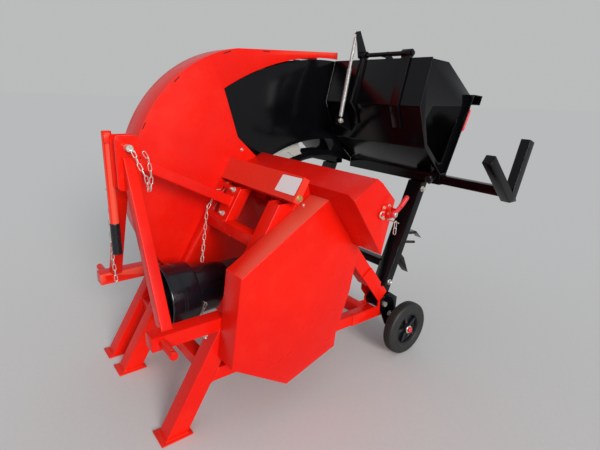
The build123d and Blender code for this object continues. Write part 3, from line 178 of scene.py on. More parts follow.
def painted_edge_highlight(tree):
    """More than 0 only along sharp convex edges, where a painted highlight stands in for the sky's
    reflection on their bevels.
    """
    geometry = tree.nodes.new("ShaderNodeNewGeometry")
    return span(tree, geometry.outputs["Pointiness"], SHEEN_FROM, SHEEN_FULL, 0.0, SHEEN_MOST)


def paint(name, colour, deep, dust_and_sheen, roughness, gloss, peel):
    """Gloss powder coat: orange peel, faint cloudiness, a film of dust, and a painted highlight
    along sharp edges.
    """
    material, tree, shader = new_material(name)
    where = place(tree)
    body = mix(tree, patches(tree, where, 2.6, 4.0, 0.35, 0.7), colour, deep)
    film = patches(tree, where, 14.0, 6.0, 0.52, 0.85, 0.05, 0.65)
    body = mix(tree, film, body, dust_and_sheen)
    # Pale sharp edges: a painted highlight standing in for the sky's reflection on the bevels.
    body = mix(tree, painted_edge_highlight(tree), body, dust_and_sheen)
    tree.links.new(body, shader.inputs["Base Color"])
    uneven_roughness(tree, shader, where, 11.0, 5.0, roughness * 0.8, roughness * 1.3)
    shader.inputs["Specular IOR Level"].default_value = gloss
    bump(tree, shader, noise(tree, where, 420.0, 2.0), peel, 0.0005)
    return material


def metal(name, colour, stain, roughness, scale, bump_strength=0.1):
    """Plated or cast metal; partly diffuse, as dull plating is."""
    material, tree, shader = new_material(name)
    where = place(tree)
    stains = patches(tree, where, scale, 5.0, 0.35, 0.72, 1.0, 0.6)
    tree.links.new(mix(tree, stains, colour, stain), shader.inputs["Base Color"])
    shader.inputs["Metallic"].default_value = PLATING_METALLIC
    uneven_roughness(tree, shader, where, scale * 2.3, 4.0, roughness * 0.75, roughness * 1.4)
    bump(tree, shader, noise(tree, where, scale * 9, 3.0), bump_strength, 0.0004)
    return material


def plastic(name, colour, mark, roughness, grain=900.0):
    """Moulded plastic or rubber with a fine grain and paler scuffs."""
    material, tree, shader = new_material(name)
    where = place(tree)
    scuffs = patches(tree, where, 18.0, 5.0, 0.45, 0.8, 0.6, 0.6)
    tree.links.new(mix(tree, scuffs, colour, mark), shader.inputs["Base Color"])
    uneven_roughness(tree, shader, where, 55.0, 4.0, roughness * 0.8, roughness * 1.25)
    bump(tree, shader, noise(tree, where, grain, 2.0), 0.18, 0.0003)
    return material


def blade_metal():
    """Ground steel with rings of grinding marks about the shaft."""
    material, tree, shader = new_material("blade_steel")
    where = place(tree)
    mapping = tree.nodes.new("ShaderNodeMapping")
    mapping.inputs["Location"].default_value = -at(0, 0, SHAFT_Z)
    tree.links.new(where, mapping.inputs["Vector"])
    wave = tree.nodes.new("ShaderNodeTexWave")
    wave.wave_type, wave.rings_direction = "RINGS", "X"
    wave.inputs["Scale"].default_value = 240.0
    wave.inputs["Distortion"].default_value = 1.4
    wave.inputs["Detail"].default_value = 3.0
    tree.links.new(mapping.outputs["Vector"], wave.inputs["Vector"])
    clouds = patches(tree, where, 9.0, 5.0, 0.35, 0.7)
    tone = mix(tree, clouds, (0.86, 0.86, 0.80), (0.72, 0.71, 0.65))
    rings = span(tree, wave.outputs["Fac"], 0.0, 1.0, 0.0, 0.2)
    tree.links.new(mix(tree, rings, tone, (0.5, 0.5, 0.48)), shader.inputs["Base Color"])
    shader.inputs["Metallic"].default_value = BLADE_METALLIC
    shader.inputs["Roughness"].default_value = BLADE_ROUGHNESS
    bump(tree, shader, wave.outputs["Fac"], 0.08, 0.0002)
    return material


MATERIALS = {
    "red_paint": paint("red_paint", (0.82, 0.010, 0.002), (0.70, 0.006, 0.003),
                       (0.90, 0.20, 0.12), 0.28, 0.20, 0.05),
    "black_paint": paint("black_paint", (0.0018, 0.0017, 0.0024), (0.003, 0.003, 0.004),
                         (0.03, 0.03, 0.034), 0.15, 0.24, 0.04),
    "zinc": metal("zinc", (0.78, 0.76, 0.70), (0.55, 0.53, 0.47), 0.30, 90.0),
    "cast_grey": metal("cast_grey", (0.16, 0.16, 0.17), (0.10, 0.10, 0.11), 0.55, 40.0, 0.5),
    "blade_steel": blade_metal(),
    "black_plastic": plastic("black_plastic", (0.005, 0.0055, 0.007), (0.014, 0.015, 0.018), 0.32),
    "red_plastic": plastic("red_plastic", (0.72, 0.02, 0.03), (0.60, 0.02, 0.03), 0.32),
    "rubber_belt": plastic("rubber_belt", (0.012, 0.012, 0.012), (0.03, 0.03, 0.03), 0.7),
    "tyre_rubber": plastic("tyre_rubber", (0.009, 0.009, 0.0085), (0.026, 0.025, 0.021),
                           0.55, 500.0),
    "label_white": plastic("label_white", (0.78, 0.79, 0.80), (0.70, 0.71, 0.73), 0.35),
    "yellow_zinc": metal("yellow_zinc", (0.72, 0.55, 0.24), (0.50, 0.36, 0.14), 0.30, 90.0),
    "shield_plastic": plastic("shield_plastic", (0.004, 0.005, 0.008), (0.010, 0.012, 0.018), 0.22),
    "spring_steel": metal("spring_steel", (0.80, 0.80, 0.78), (0.64, 0.64, 0.62), 0.24, 120.0),
}


# ---------------------------------------------------------------- making pieces
def in_order(bm):
    """The same mesh built anew with its faces in a fixed order, because some of Blender's mesh
    tools leave them in another order each run."""
    bm.verts.index_update()
    rings = sorted(([v.index for v in face.verts] for face in bm.faces), key=sorted)
    ordered = bmesh.new()
    verts = [ordered.verts.new(v.co) for v in bm.verts]
    for ring in rings:
        ordered.faces.new([verts[i] for i in ring])
    ordered.normal_update()
    bm.free()
    return ordered


def new_object(name, bm):
    """A linked object that takes over the bmesh."""
    mesh = bpy.data.meshes.new(name)
    bm.to_mesh(mesh)
    bm.free()
    obj = bpy.data.objects.new(name, mesh)
    bpy.context.scene.collection.objects.link(obj)
    return obj


def dress(obj, material):
    obj.data.materials.clear()
    obj.data.materials.append(material)


def piece_on(obj, material, body, sharp_from):
    """Smooth shading up to an angle in degrees, a material, and the body that carries the piece."""
    obj.data.shade_smooth()
    obj.data.set_sharp_from_angle(angle=math.radians(sharp_from))
    dress(obj, MATERIALS[material])
    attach(obj, body)
    return obj


def as_piece(name, bm, material, body, sharp_from=35.0):
    """A bmesh becomes a piece that rides on a body."""
    return piece_on(new_object(name, in_order(bm)), material, body, sharp_from)


def body_of(node):
    return NODES[node]["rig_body"]


def plain_nodes():
    """Every CAD node that stays gets the material of its slot."""
    for node, obj in NODES.items():
        dress(obj, MATERIALS[SLOTS[node]])


def placed(points):
    return [at(*p) for p in points]


# ---------------------------------------------------------------- swept, turned and solid shapes
BLOCK_BEVEL_STEPS = 2
THREAD_PITCH = 0.0014
ON_AXIS = 1e-7  # a smaller radius is on the axis of a turned body


def smooth_path(points, step):
    """Points every step metres along a Catmull-Rom curve through the given ones."""
    pts = [Vector(p) for p in points]
    pts = [pts[0] * 2 - pts[1]] + pts + [pts[-1] * 2 - pts[-2]]
    out = []
    for p0, p1, p2, p3 in zip(pts, pts[1:], pts[2:], pts[3:]):
        parts = max(2, int((p2 - p1).length / step))
        for k in range(parts):
            t = k / parts
            out.append(0.5 * ((2 * p1) + (p2 - p0) * t + (2 * p0 - 5 * p1 + 4 * p2 - p3) * t * t
                              + (3 * p1 - p0 - 3 * p2 + p3) * t ** 3))
    return out + [pts[-2]]


def sweep(bm, path, radius, sides, closed=False, up=None):
    """Adds a round rod along the path; radius is a number or one per point."""
    count = len(path)
    radii = radius if isinstance(radius, list) else [radius] * count
    tangents = []
    for i in range(count):
        before = path[i - 1] if closed or i else path[i]
        after = path[(i + 1) % count] if closed or i < count - 1 else path[i]
        tangents.append((after - before).normalized())
    # Any direction off the path will do for the first ring, and the others follow it.
    side = Vector(up) if up else Vector((0.31, 0.87, 0.39))
    side = (side - tangents[0] * side.dot(tangents[0])).normalized()
    rings = []
    for point, tangent, r in zip(path, tangents, radii):
        side = (side - tangent * side.dot(tangent)).normalized()
        other = tangent.cross(side)
        rings.append([bm.verts.new(point + side * (r * math.cos(a)) + other * (r * math.sin(a)))
                      for a in (2 * math.pi * k / sides for k in range(sides))])
    for i in range(count if closed else count - 1):
        bridge(bm, rings[i], rings[(i + 1) % count])
    if not closed:
        cap_ends(bm, rings)


def bridge(bm, first, second):
    """Faces between two rings of as many vertices."""
    count = len(first)
    for k in range(count):
        bm.faces.new((first[k], first[(k + 1) % count], second[(k + 1) % count], second[k]))


def cap_ends(bm, rings):
    bm.faces.new(rings[0][::-1])
    bm.faces.new(rings[-1])


def lathe(bm, centre, axis, profile, segments, spin=0.0):
    """Adds a turned body; the closed profile lists (along the axis, radius) in metres."""
    axis = Vector(axis).normalized()
    side = axis.orthogonal().normalized()
    other = axis.cross(side)
    rings = []
    for k in range(segments):
        angle = spin + 2 * math.pi * k / segments
        out = side * math.cos(angle) + other * math.sin(angle)
        rings.append([bm.verts.new(centre + axis * t + out * r) for t, r in profile])
    for k in range(segments):
        first, second = rings[k], rings[(k + 1) % segments]
        for i in range(len(profile)):
            j = (i + 1) % len(profile)
            if profile[i][1] < ON_AXIS and profile[j][1] < ON_AXIS:
                continue
            bm.faces.new((first[i], first[j], second[j], second[i]))
    bmesh.ops.remove_doubles(bm, verts=bm.verts, dist=1e-6)


def box_between(bm, low, high, bevel, turn=None):
    """Adds a block with rounded edges; turn is a matrix applied about the row origin."""
    made = bmesh.ops.create_cube(bm, size=1.0)["verts"]
    low, high = Vector(low), Vector(high)
    for vert in made:
        vert.co = Vector((low[i] + (vert.co[i] + 0.5) * (high[i] - low[i]) for i in range(3)))
    edges = list(dict.fromkeys(e for v in made for e in v.link_edges))
    grown = bmesh.ops.bevel(bm, geom=edges, offset=bevel, segments=BLOCK_BEVEL_STEPS, profile=0.5,
                            affect="EDGES")
    if turn:
        made = {v for f in grown["faces"] for v in f.verts} | {v for v in made if v.is_valid}
        for vert in made:
            vert.co = turn @ vert.co


def hull(bm, points):
    """Adds the convex hull of places given in working millimetres."""
    bmesh.ops.convex_hull(bm, input=[bm.verts.new(at(*p)) for p in points])


def hex_bolt(bm, centre, axis, across, head, washer, shank=0.0):
    """Washer, chamfered hexagon head and, if asked, the threaded end of its shank. In metres;
    across is over the head's flats."""
    axis = Vector(axis).normalized()
    corner = across / 2 / math.cos(math.pi / 6)
    top = washer + head
    lathe(bm, centre, axis, [(0, 0), (0, corner * 1.25), (washer * 0.7, corner * 1.25),
                             (washer, corner * 1.18), (washer, 0)], 28)
    lathe(bm, centre, axis, [(washer, 0), (washer, corner), (top - head * 0.22, corner),
                             (top, corner * 0.84), (top, 0)], 6, 0.3)
    if shank:
        profile = [(top, 0)]
        turns = max(2, int(shank / THREAD_PITCH))
        for k in range(turns):
            profile += [(top + shank * k / turns, corner * 0.5),
                        (top + shank * (k + 0.5) / turns, corner * 0.56)]
        profile += [(top + shank, corner * 0.46), (top + shank, 0)]
        lathe(bm, centre, axis, profile, 18)


# ---------------------------------------------------------------- tubes and sheets with eased edges
BEND_FROM = math.radians(24)  # flatter edges stay as they are
BROAD, NARROW = 3.2, 2.5      # depth of the faces, in edge widths, that take a bend or an eased cut
EASED_SHARP_FROM = 28.0
MERGE_WITHIN = 2e-5
FLAT_WITHIN = math.radians(0.8)


def soften(name, bm, wide, thin, segments, slot, body):
    """A piece with rounded edges: broad faces meet in a bend of the width given, and the cut edges
    of sheets only lose their sharpness."""
    layer = bm.edges.layers.float.new("bevel_weight_edge")
    for edge in bm.edges:
        if len(edge.link_faces) != 2 or not edge.is_convex or edge.calc_face_angle(0) < BEND_FROM:
            continue
        depth = min(f.calc_area() * 2 / f.calc_perimeter() for f in edge.link_faces)
        if depth > BROAD * wide:
            edge[layer] = 1.0
        elif depth > NARROW * thin:
            edge[layer] = thin / wide
    obj = new_object(name, bm)
    modifier = obj.modifiers.new("ease", "BEVEL")
    modifier.limit_method = "WEIGHT"
    modifier.width = wide
    modifier.segments = segments
    modifier.use_clamp_overlap = True
    graph = bpy.context.evaluated_depsgraph_get()
    baked = bpy.data.meshes.new_from_object(obj.evaluated_get(graph))
    obj.modifiers.clear()
    obj.data = baked
    return piece_on(obj, slot, body, EASED_SHARP_FROM)


def clean_copy(*nodes):
    """CAD nodes with their flat faces whole again."""
    bm = bmesh.new()
    for node in nodes:
        bm.from_mesh(NODES[node].data)
    bmesh.ops.remove_doubles(bm, verts=bm.verts, dist=MERGE_WITHIN)
    bmesh.ops.dissolve_limit(bm, angle_limit=FLAT_WITHIN, verts=bm.verts, edges=bm.edges)
    return bm


def eased(node, wide, thin, segments):
    """A softened copy of a CAD node, standing for it."""
    bm = clean_copy(node)
    piece = soften(node + "_eased", bm, wide, thin, segments, SLOTS[node], body_of(node))
    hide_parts(node)


# Nodes, then the width of their bends and of their eased cuts, and the steps round a bend.
EASED = (
    (("front_legs", "lower_rails", "cross_rails", "rear_braces", "middle_post", "link_bars",
      "mast_legs", "gearbox_stand", "cradle_columns", "cradle_cross_tube", "rest_socket",
      "log_rest"), 0.0034, 0.0005, 3),
    (("foot_plates", "mast_plates", "pivot_plates", "bearing_hangers", "wheel_brackets",
      "hinge_straps", "shaft_holder", "clamp_lever", "clamp_shaft", "link_pins", "bearings",
      "gearbox"), 0.0012, 0.0005, 2),
    (("guard_rim", "guard_sides", "belt_guard", "trough_right", "trough_left",
      "trough_end_plate", "cradle_sheets"), 0.0036, 0.0004, 3),
)


def ease_all():
    for nodes, wide, thin, segments in EASED:
        for node in nodes:
            eased(node, wide, thin, segments)


# ---------------------------------------------------------------- weld seams
WELDED = ("front_legs", "lower_rails", "cross_rails", "rear_braces", "middle_post", "link_bars",
          "mast_legs", "gearbox_stand", "pivot_plates", "bearing_hangers", "cradle_columns",
          "cradle_cross_tube", "rest_socket", "log_rest", "wheel_brackets", "foot_plates",
          "mast_plates")
SEAM_GAP = 0.0012
SEAM_SHORTEST = 0.016
SEAM_FROM = math.radians(40)
INSIDE_START, INSIDE_REACH = 0.0006, 0.09  # a seam within a tube sees its other wall
BEAD_RADIUS, BEAD_STEP = 0.0026, 0.0011


def weld_bead(bm, start, end):
    """Rippled bead, half sunk where two pieces meet."""
    parts = max(1, round((end - start).length / BEAD_STEP))
    path = [start.lerp(end, k / parts) for k in range(parts)] + [end]
    radii = [BEAD_RADIUS * (0.86 + 0.14 * abs(math.sin(i * 0.62)) + 0.05 * math.sin(i * 0.173))
             for i in range(len(path))]
    sweep(bm, path, radii, 7)


def seam_edges(node, others):
    """Outer edges of a node that lie against the other pieces of its weldment."""
    own = clean_copy(node)
    own.normal_update()
    own_tree, other_tree = BVHTree.FromBMesh(own), BVHTree.FromBMesh(others)
    found = []
    for edge in own.edges:
        if (len(edge.link_faces) != 2 or not edge.is_convex
                or edge.calc_length() < SEAM_SHORTEST or edge.calc_face_angle(0) < SEAM_FROM):
            continue
        a, b = (v.co.copy() for v in edge.verts)
        if any((other_tree.find_nearest(a.lerp(b, t))[3] or 0.0) > SEAM_GAP
               for t in (0.1, 0.5, 0.9)):
            continue
        middle = a.lerp(b, 0.5)
        if not any(own_tree.ray_cast(middle + f.normal * INSIDE_START, f.normal, INSIDE_REACH)[0]
                   for f in edge.link_faces):
            found.append((a, b))
    own.free()
    return found


def weld_seams():
    groups = {}
    for node in WELDED:
        groups.setdefault((body_of(node), SLOTS[node]), []).append(node)
    for (body, slot), nodes in sorted(groups.items()):
        bm = bmesh.new()
        for node in nodes:
            mates = [other for other in nodes if other != node]
            if not mates:
                continue
            others = clean_copy(*mates)
            for a, b in seam_edges(node, others):
                weld_bead(bm, a, b)
            others.free()
        if bm.verts:
            as_piece("weld_seams_" + body + "_" + slot, bm, slot, body, 60)
        else:
            bm.free()


# ---------------------------------------------------------------- main beam, hood and label
# From here on places and sections are in working millimetres unless a comment says otherwise.
# The beam's front face leans as the front legs do: its top edge (y, z), the way down, the way out.
FACE_TOP, FACE_DOWN, FACE_OUT = (-133.0, 915.0), (-0.487, -0.873), (-0.873, 0.487)
BEAM_X, BEAM_TALL, BEAM_DEEP = (82, 620), 98.5, 30.0
CORE_X = (82, 568)
CORE_SECTIONS = (((-155, 811), (-73, 811), (-73, 874), (-107, 898.5), (-152, 820)),
                 ((-73, 811), (-38, 811), (-38, 885), (-73, 871)))

# Corners of the hood's sheet, and its faces as rows of them.
HOOD_CORNERS = {
    "a": (86, -73, 878), "b": (785, -73, 878), "c": (820, -75, 862), "d": (820, 33, 928),
    "e": (86, 33, 928), "f": (86, 59, 911), "g": (820, 59, 911), "h": (86, 133, 841),
    "i": (820, 133, 841), "j": (86, 87, 656), "k": (820, 87, 656), "l": (820, 85, 636),
    "m": (675, 85, 636), "n": (675, -73, 878), "o": (675, 87, 656), "p": (571, -73, 878),
    "q": (571, -59, 834), "r": (675, -59, 834),
}
HOOD_FACES = ("apnbde", "bcd", "edgf", "fgih", "hikoj", "cdgikl", "nrmlcb", "omlk", "pqrn")
HOOD_SKIN = 0.003  # metres

# Corners of the label as (x, distance down the beam's face), the cut at each, and its thickness.
LABEL = ((497, 10.3), (614, 7.0), (610, 75.6), (487, 76.7))
LABEL_CUT, LABEL_THICK = 4, 0.5


def on_face(x, down, out):
    """A place on the beam's leaning front face, or out from it."""
    return (x, *(FACE_TOP[i] + FACE_DOWN[i] * down + FACE_OUT[i] * out for i in (0, 1)))


def main_beam():
    bm = bmesh.new()
    hull(bm, [on_face(x, down, out)
              for x in BEAM_X for down in (0, BEAM_TALL) for out in (0, -BEAM_DEEP)])
    for section in CORE_SECTIONS:
        hull(bm, [(x, y, z) for x in CORE_X for y, z in section])
    beam = soften("main_beam", bm, 0.0042, 0.0006, 3, "red_paint", body_of("upper_beam"))
    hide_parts("upper_beam")


def hood():
    """One folded sheet: the top, the bends down to its free edge, the right end and the wall under
    its front edge."""
    bm = bmesh.new()
    verts = {key: bm.verts.new(at(*p)) for key, p in HOOD_CORNERS.items()}
    faces = [bm.faces.new([verts[key] for key in keys]) for keys in HOOD_FACES]
    bmesh.ops.recalc_face_normals(bm, faces=faces)
    bmesh.ops.solidify(bm, geom=faces, thickness=HOOD_SKIN)
    bmesh.ops.recalc_face_normals(bm, faces=bm.faces)
    sheet = soften("hood", in_order(bm), 0.0022, 0.0004, 2, "red_paint", body_of("hood_cover"))
    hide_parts("hood_cover")
    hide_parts("hood_end")


def blank_label():
    """Plain white label with its corners cut off."""
    points = []
    for i, (x, down) in enumerate(LABEL):
        for other in (LABEL[i - 1], LABEL[(i + 1) % len(LABEL)]):
            run = math.hypot(other[0] - x, other[1] - down)
            points.append((x + (other[0] - x) * LABEL_CUT / run,
                           down + (other[1] - down) * LABEL_CUT / run))
    bm = bmesh.new()
    hull(bm, [on_face(x, down, out) for x, down in points for out in (0.0, LABEL_THICK)])
    as_piece("blank_label", bm, "label_white", body_of("upper_beam"), 20)


# ---------------------------------------------------------------- tab marks
# Ends (y, z, y, z) of the marks on the guard's sides, their half width, the sides' outer faces,
# and how far a mark is sunk and stands out.
TABS = ((-158.8, 1348.4, -123.2, 1360.8), (-380.3, 1227.3, -356.3, 1248.9),
        (-517.5, 1048.5, -504.1, 1073.0), (37.0, 1372.8, 74.2, 1371.4),
        (11.3, 1288.0, 48.2, 1302.5), (203.6, 1346.1, 244.5, 1348.0))
TAB_HALF = 1.8
GUARD_FACES = (82.0, -82.0)
TAB_SUNK, TAB_PROUD = -0.5, 0.25
# The vent: its middle (y, z), the way along the belt guard's rim there, and its extents; a dark
# patch on the rim that is painted shade in place of the opening.
VENT_Y, VENT_Z = -139, 785
RIM_Y, RIM_Z = 0.856, 0.519
VENT_X, VENT_ALONG, VENT_UP = (610, 625), (-2, 2), (-0.5, 0.3)


def tab_marks():
    """Dark ends of the tabs that hold the guard's rim, and a dark patch of painted shade in place
    of the vent's opening in the belt guard's rim.
    """
    bm = bmesh.new()
    for y0, z0, y1, z1 in TABS:
        run = math.hypot(y1 - y0, z1 - z0)
        dy, dz = -(z1 - z0) / run * TAB_HALF, (y1 - y0) / run * TAB_HALF
        for x in GUARD_FACES:
            hull(bm, [(x + lift * math.copysign(1, x), y + k * dy, z + k * dz)
                      for lift in (TAB_SUNK, TAB_PROUD)
                      for y, z in ((y0, z0), (y1, z1)) for k in (-1, 1)])
    # The vent is painted shade: a dark patch on the rim in place of the opening.
    hull(bm, [(x, VENT_Y + RIM_Y * along - RIM_Z * up, VENT_Z + RIM_Z * along + RIM_Y * up)
              for x in VENT_X for along in VENT_ALONG for up in VENT_UP])
    as_piece("tab_marks", bm, "black_paint", body_of("guard_sides"), 20)


# ---------------------------------------------------------------- bolts
POST_FOOT_Y, POST_LEAN, POST_HALF = -638.5, 0.584, 28.95
COLUMN_Y, COLUMN_Z, COLUMN_LEAN = 417, 238, 0.398
LEG_OUT = (0.0, -0.8635, 0.5043)
ADJUSTER_Z = (800, 706)
COLUMN_BOLT_X, COLUMN_BOLT_Z = 568.5, (780.0, 338.0)


def front_of_post(z):
    return POST_FOOT_Y + POST_LEAN * z - POST_HALF


def bolts():
    # Each bolt: its place, axis, then in metres the head's width and height, washer and shank.
    rows = [((581, 462, 173), AXIS_X, 0.019, 0.009, 0.0025, 0.006),
            ((550, -503.1, 378), (0, 0, -1), 0.019, 0.010, 0.0025, 0.010),
            ((82, -74, 945), AXIS_X, 0.010, 0.005, 0.0012, 0.0)]
    rows += [((230, front_of_post(z), z), LEG_OUT, 0.017, 0.008, 0.0025, 0.010)
             for z in ADJUSTER_Z]
    rows += [((590, -110, 803), (0, -RIM_Z, RIM_Y), 0.010, 0.004, 0.0012, 0.0)]
    bm = bmesh.new()
    for spot, *form in rows:
        hex_bolt(bm, at(*spot), *form)
    piece = as_piece("machine_bolts", bm, "zinc", body_of("frame_bolts"))
    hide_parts("frame_bolts")
    bm = bmesh.new()
    hex_bolt(bm, at(620, -153.5, 838.5), AXIS_X, 0.019, 0.008, 0.0025)
    as_piece("beam_bolt", bm, "yellow_zinc", body_of("frame_bolts"))
    bm = bmesh.new()
    for z in COLUMN_BOLT_Z:
        hex_bolt(bm, at(COLUMN_BOLT_X, COLUMN_Y + COLUMN_LEAN * (z - COLUMN_Z), z), AXIS_X,
                 0.019, 0.009, 0.0025, 0.004)
    piece = as_piece("column_bolts", bm, "zinc", body_of("cradle_bolts"))
    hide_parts("cradle_bolts")


# ---------------------------------------------------------------- wheels
# Turned profiles in metres: (along the axle, radius). Those of the tyre and the rim are half ones.
TYRE = [(0.0012, 0.1274), (0.0022, 0.130), (0.0086, 0.1298), (0.0096, 0.1270), (0.0120, 0.1270),
        (0.0130, 0.1292), (0.0180, 0.1278), (0.0220, 0.1240), (0.0242, 0.1180), (0.0247, 0.1120),
        (0.0254, 0.1105), (0.0256, 0.1080), (0.0249, 0.1065), (0.0249, 0.0960), (0.0256, 0.0945),
        (0.0256, 0.0900), (0.0246, 0.0885), (0.0240, 0.0800), (0.0225, 0.0780)]
RIM = [(0.0, 0.0785), (0.0215, 0.0785), (0.0235, 0.0775), (0.0235, 0.0735), (0.0215, 0.0720),
       (0.0180, 0.0700), (0.0060, 0.0670), (0.0040, 0.0640), (0.0040, 0.0250), (0.0200, 0.0235),
       (0.0260, 0.0215), (0.0270, 0.0200), (0.0270, 0.0102), (0.0, 0.0102)]
WASHER = [(0.0268, 0.0102), (0.0268, 0.0185), (0.0290, 0.0185), (0.0300, 0.0172), (0.0300, 0.0102)]
HUB_CAP = [(0.0298, 0.0), (0.0298, 0.0125), (0.0385, 0.0122), (0.0400, 0.0105), (0.0405, 0.0)]
WHEEL_Y, WHEEL_Z = 482, 130
WHEELS = (("right", 666.0, 1.0), ("left", -249.0, -1.0))
# Spokes: how many, the first one's turn, then in metres its depth, half width, ends and edge.
SPOKES, SPOKE_TURN = 5, 0.2
SPOKE_DEEP, SPOKE_WIDE, SPOKE_FROM, SPOKE_TO, SPOKE_EDGE = 0.017, 0.0085, 0.020, 0.0715, 0.0022


def mirrored(profile):
    """A profile given for one side, from the middle outwards, closed over the other side."""
    return profile + [(-t, r) for t, r in profile[::-1]]


def spokes(bm, centre):
    """Ribs on both sides of the rim's disc."""
    for k in range(SPOKES):
        spin = Matrix.Rotation(2 * math.pi * (k + SPOKE_TURN) / SPOKES, 4, "X")
        for near, far in ((0, SPOKE_DEEP), (-SPOKE_DEEP, 0)):
            box_between(bm, (near, -SPOKE_WIDE, SPOKE_FROM), (far, SPOKE_WIDE, SPOKE_TO),
                        SPOKE_EDGE, Matrix.Translation(centre) @ spin)


def wheels():
    for side, middle, out in WHEELS:
        centre, axis = at(middle, WHEEL_Y, WHEEL_Z), (out, 0, 0)
        bm = bmesh.new()
        lathe(bm, centre, axis, mirrored(TYRE), 128)
        node = "tyre_" + side
        piece = as_piece("wheel_tyre_" + side, bm, "tyre_rubber", body_of(node), 30)
        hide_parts(node)
        bm = bmesh.new()
        lathe(bm, centre, axis, mirrored(RIM), 96)
        spokes(bm, centre)
        node = "rim_" + side
        piece = as_piece("wheel_rim_" + side, bm, "black_plastic", body_of(node),
                         30)
        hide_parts(node)
        bm = bmesh.new()
        lathe(bm, centre, axis, HUB_CAP, 40)
        as_piece("wheel_cap_" + side, bm, "red_plastic", body_of("frame_pins"), 30)
        bm = bmesh.new()
        lathe(bm, centre, axis, WASHER, 40)
        as_piece("wheel_washer_" + side, bm, "zinc", body_of("frame_pins"), 30)


# ---------------------------------------------------------------- blade slots
# How many, the first one's turn, and in metres and radians the curve's start, depth and bend,
# then the slot's half width and how far its dark strip is sunk and stands out.
CUTS, CUT_TURN = 5, 0.18
CUT_START, CUT_DEPTH, CUT_BEND = 0.318, 0.055, 0.16
CUT_HALF, CUT_SUNK, CUT_PROUD = 0.0013, -0.0003, 0.00015


def blade_slots():
    """Curved relief slots from the rim, drawn as a dark strip on both faces of the blade: painted
    shade in place of the open slot.
    """
    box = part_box("saw_blade")
    faces = sorted((box[0][0], box[1][0]))
    section = ((CUT_SUNK, -1), (CUT_PROUD, -1), (CUT_PROUD, 1), (CUT_SUNK, 1))
    bm = bmesh.new()
    for k in range(CUTS):
        base = 2 * math.pi * (k + CUT_TURN) / CUTS
        spine = [(CUT_START - CUT_DEPTH * t, base + CUT_BEND * t * t)
                 for t in (0.0, 0.2, 0.4, 0.6, 0.8, 1.0)]
        for x, out in ((faces[0], -1), (faces[1], 1)):
            rings = []
            for r, a in spine:
                mid = Vector((0, math.cos(a), math.sin(a))) * r + at(0, 0, SHAFT_Z)
                across = Vector((0, -math.sin(a), math.cos(a))) * CUT_HALF
                rings.append([bm.verts.new((x + out * lift, *(mid + across * side)[1:]))
                              for lift, side in section])
            for low, high in zip(rings, rings[1:]):
                bridge(bm, low, high)
            cap_ends(bm, rings)
    bmesh.ops.recalc_face_normals(bm, faces=bm.faces)
    # The dark strips are painted shade standing in for the open slots.
    as_piece("blade_slots", bm, "black_paint", body_of("saw_blade"), 30)


# ---------------------------------------------------------------- spring strut
STRUT_FOOT, STRUT_TIP = (222, 392, 1078), (222, 466, 1477)
# In metres: the coils' wire and radii, how far they stay from the pins, and the hooks' radii.
WIRE, LOWER_R, UPPER_R = 0.0012, 0.0092, 0.0066
COIL_START, FOOT_HOOK_R, TIP_HOOK_R = 0.020, 0.0085, 0.0090
LOWER_SHARE, UPPER_SHARE = 0.60, 0.64  # of the strut's length; the halves slide in each other
COIL_PITCH = 2.06 * WIRE
COIL_STEPS, HOOK_STEPS = 18, 26
HOOK_PATH_STEP = 0.0015


def coil(start, along, side, length, radius):
    """Close-wound helix as a path, starting and ending on the coil's own radius."""
    other = along.cross(side)
    turns = length / COIL_PITCH
    count = int(turns * COIL_STEPS)
    return [start + along * (length * k / count)
            + (side * math.cos(a) + other * math.sin(a)) * radius
            for k, a in ((k, 2 * math.pi * turns * k / count) for k in range(count + 1))]


def hook(centre, towards, side, radius, first, last):
    """Open loop around a pin; angles in degrees from the direction given."""
    angles = (math.radians(first + (last - first) * k / HOOK_STEPS) for k in range(HOOK_STEPS + 1))
    return [centre + (towards * math.cos(a) + side * math.sin(a)) * radius for a in angles]


def spring_strut():
    foot, tip = at(*STRUT_FOOT), at(*STRUT_TIP)
    across = Vector(AXIS_X)
    along = (tip - foot).normalized()
    side = along.cross(across).normalized()
    length = (tip - foot).length
    bm = bmesh.new()
    sweep(bm, coil(foot + along * COIL_START, along, across, LOWER_SHARE * length - COIL_START,
                   LOWER_R), WIRE, 7)
    loop = hook(foot, along, side, FOOT_HOOK_R, 330, 10)
    loop += [foot + along * 0.015 + side * 0.003, foot + along * 0.0195 + across * LOWER_R]
    sweep(bm, smooth_path(loop, HOOK_PATH_STEP), 0.0016, 9)
    piece = as_piece("spring_lower", bm, "spring_steel", body_of("strut_cylinder"),
                     60)
    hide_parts("strut_cylinder")
    bm = bmesh.new()
    sweep(bm, coil(foot + along * ((1 - UPPER_SHARE) * length), along, across,
                   UPPER_SHARE * length - COIL_START, UPPER_R), WIRE, 7)
    loop = [tip - along * 0.0205 + across * UPPER_R, tip - along * 0.014 + side * 0.003]
    loop += hook(tip, -along, side, TIP_HOOK_R, 10, 320)
    sweep(bm, smooth_path(loop, HOOK_PATH_STEP), 0.0014, 9)
    piece = as_piece("spring_upper", bm, "spring_steel", body_of("strut_rod"), 60)
    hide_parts("strut_rod")
    bm = bmesh.new()
    hex_bolt(bm, at(231.5, 392, 1078), AXIS_X, 0.016, 0.007, 0.002)
    as_piece("strut_foot_bolt", bm, "zinc", body_of("hinge_straps"))


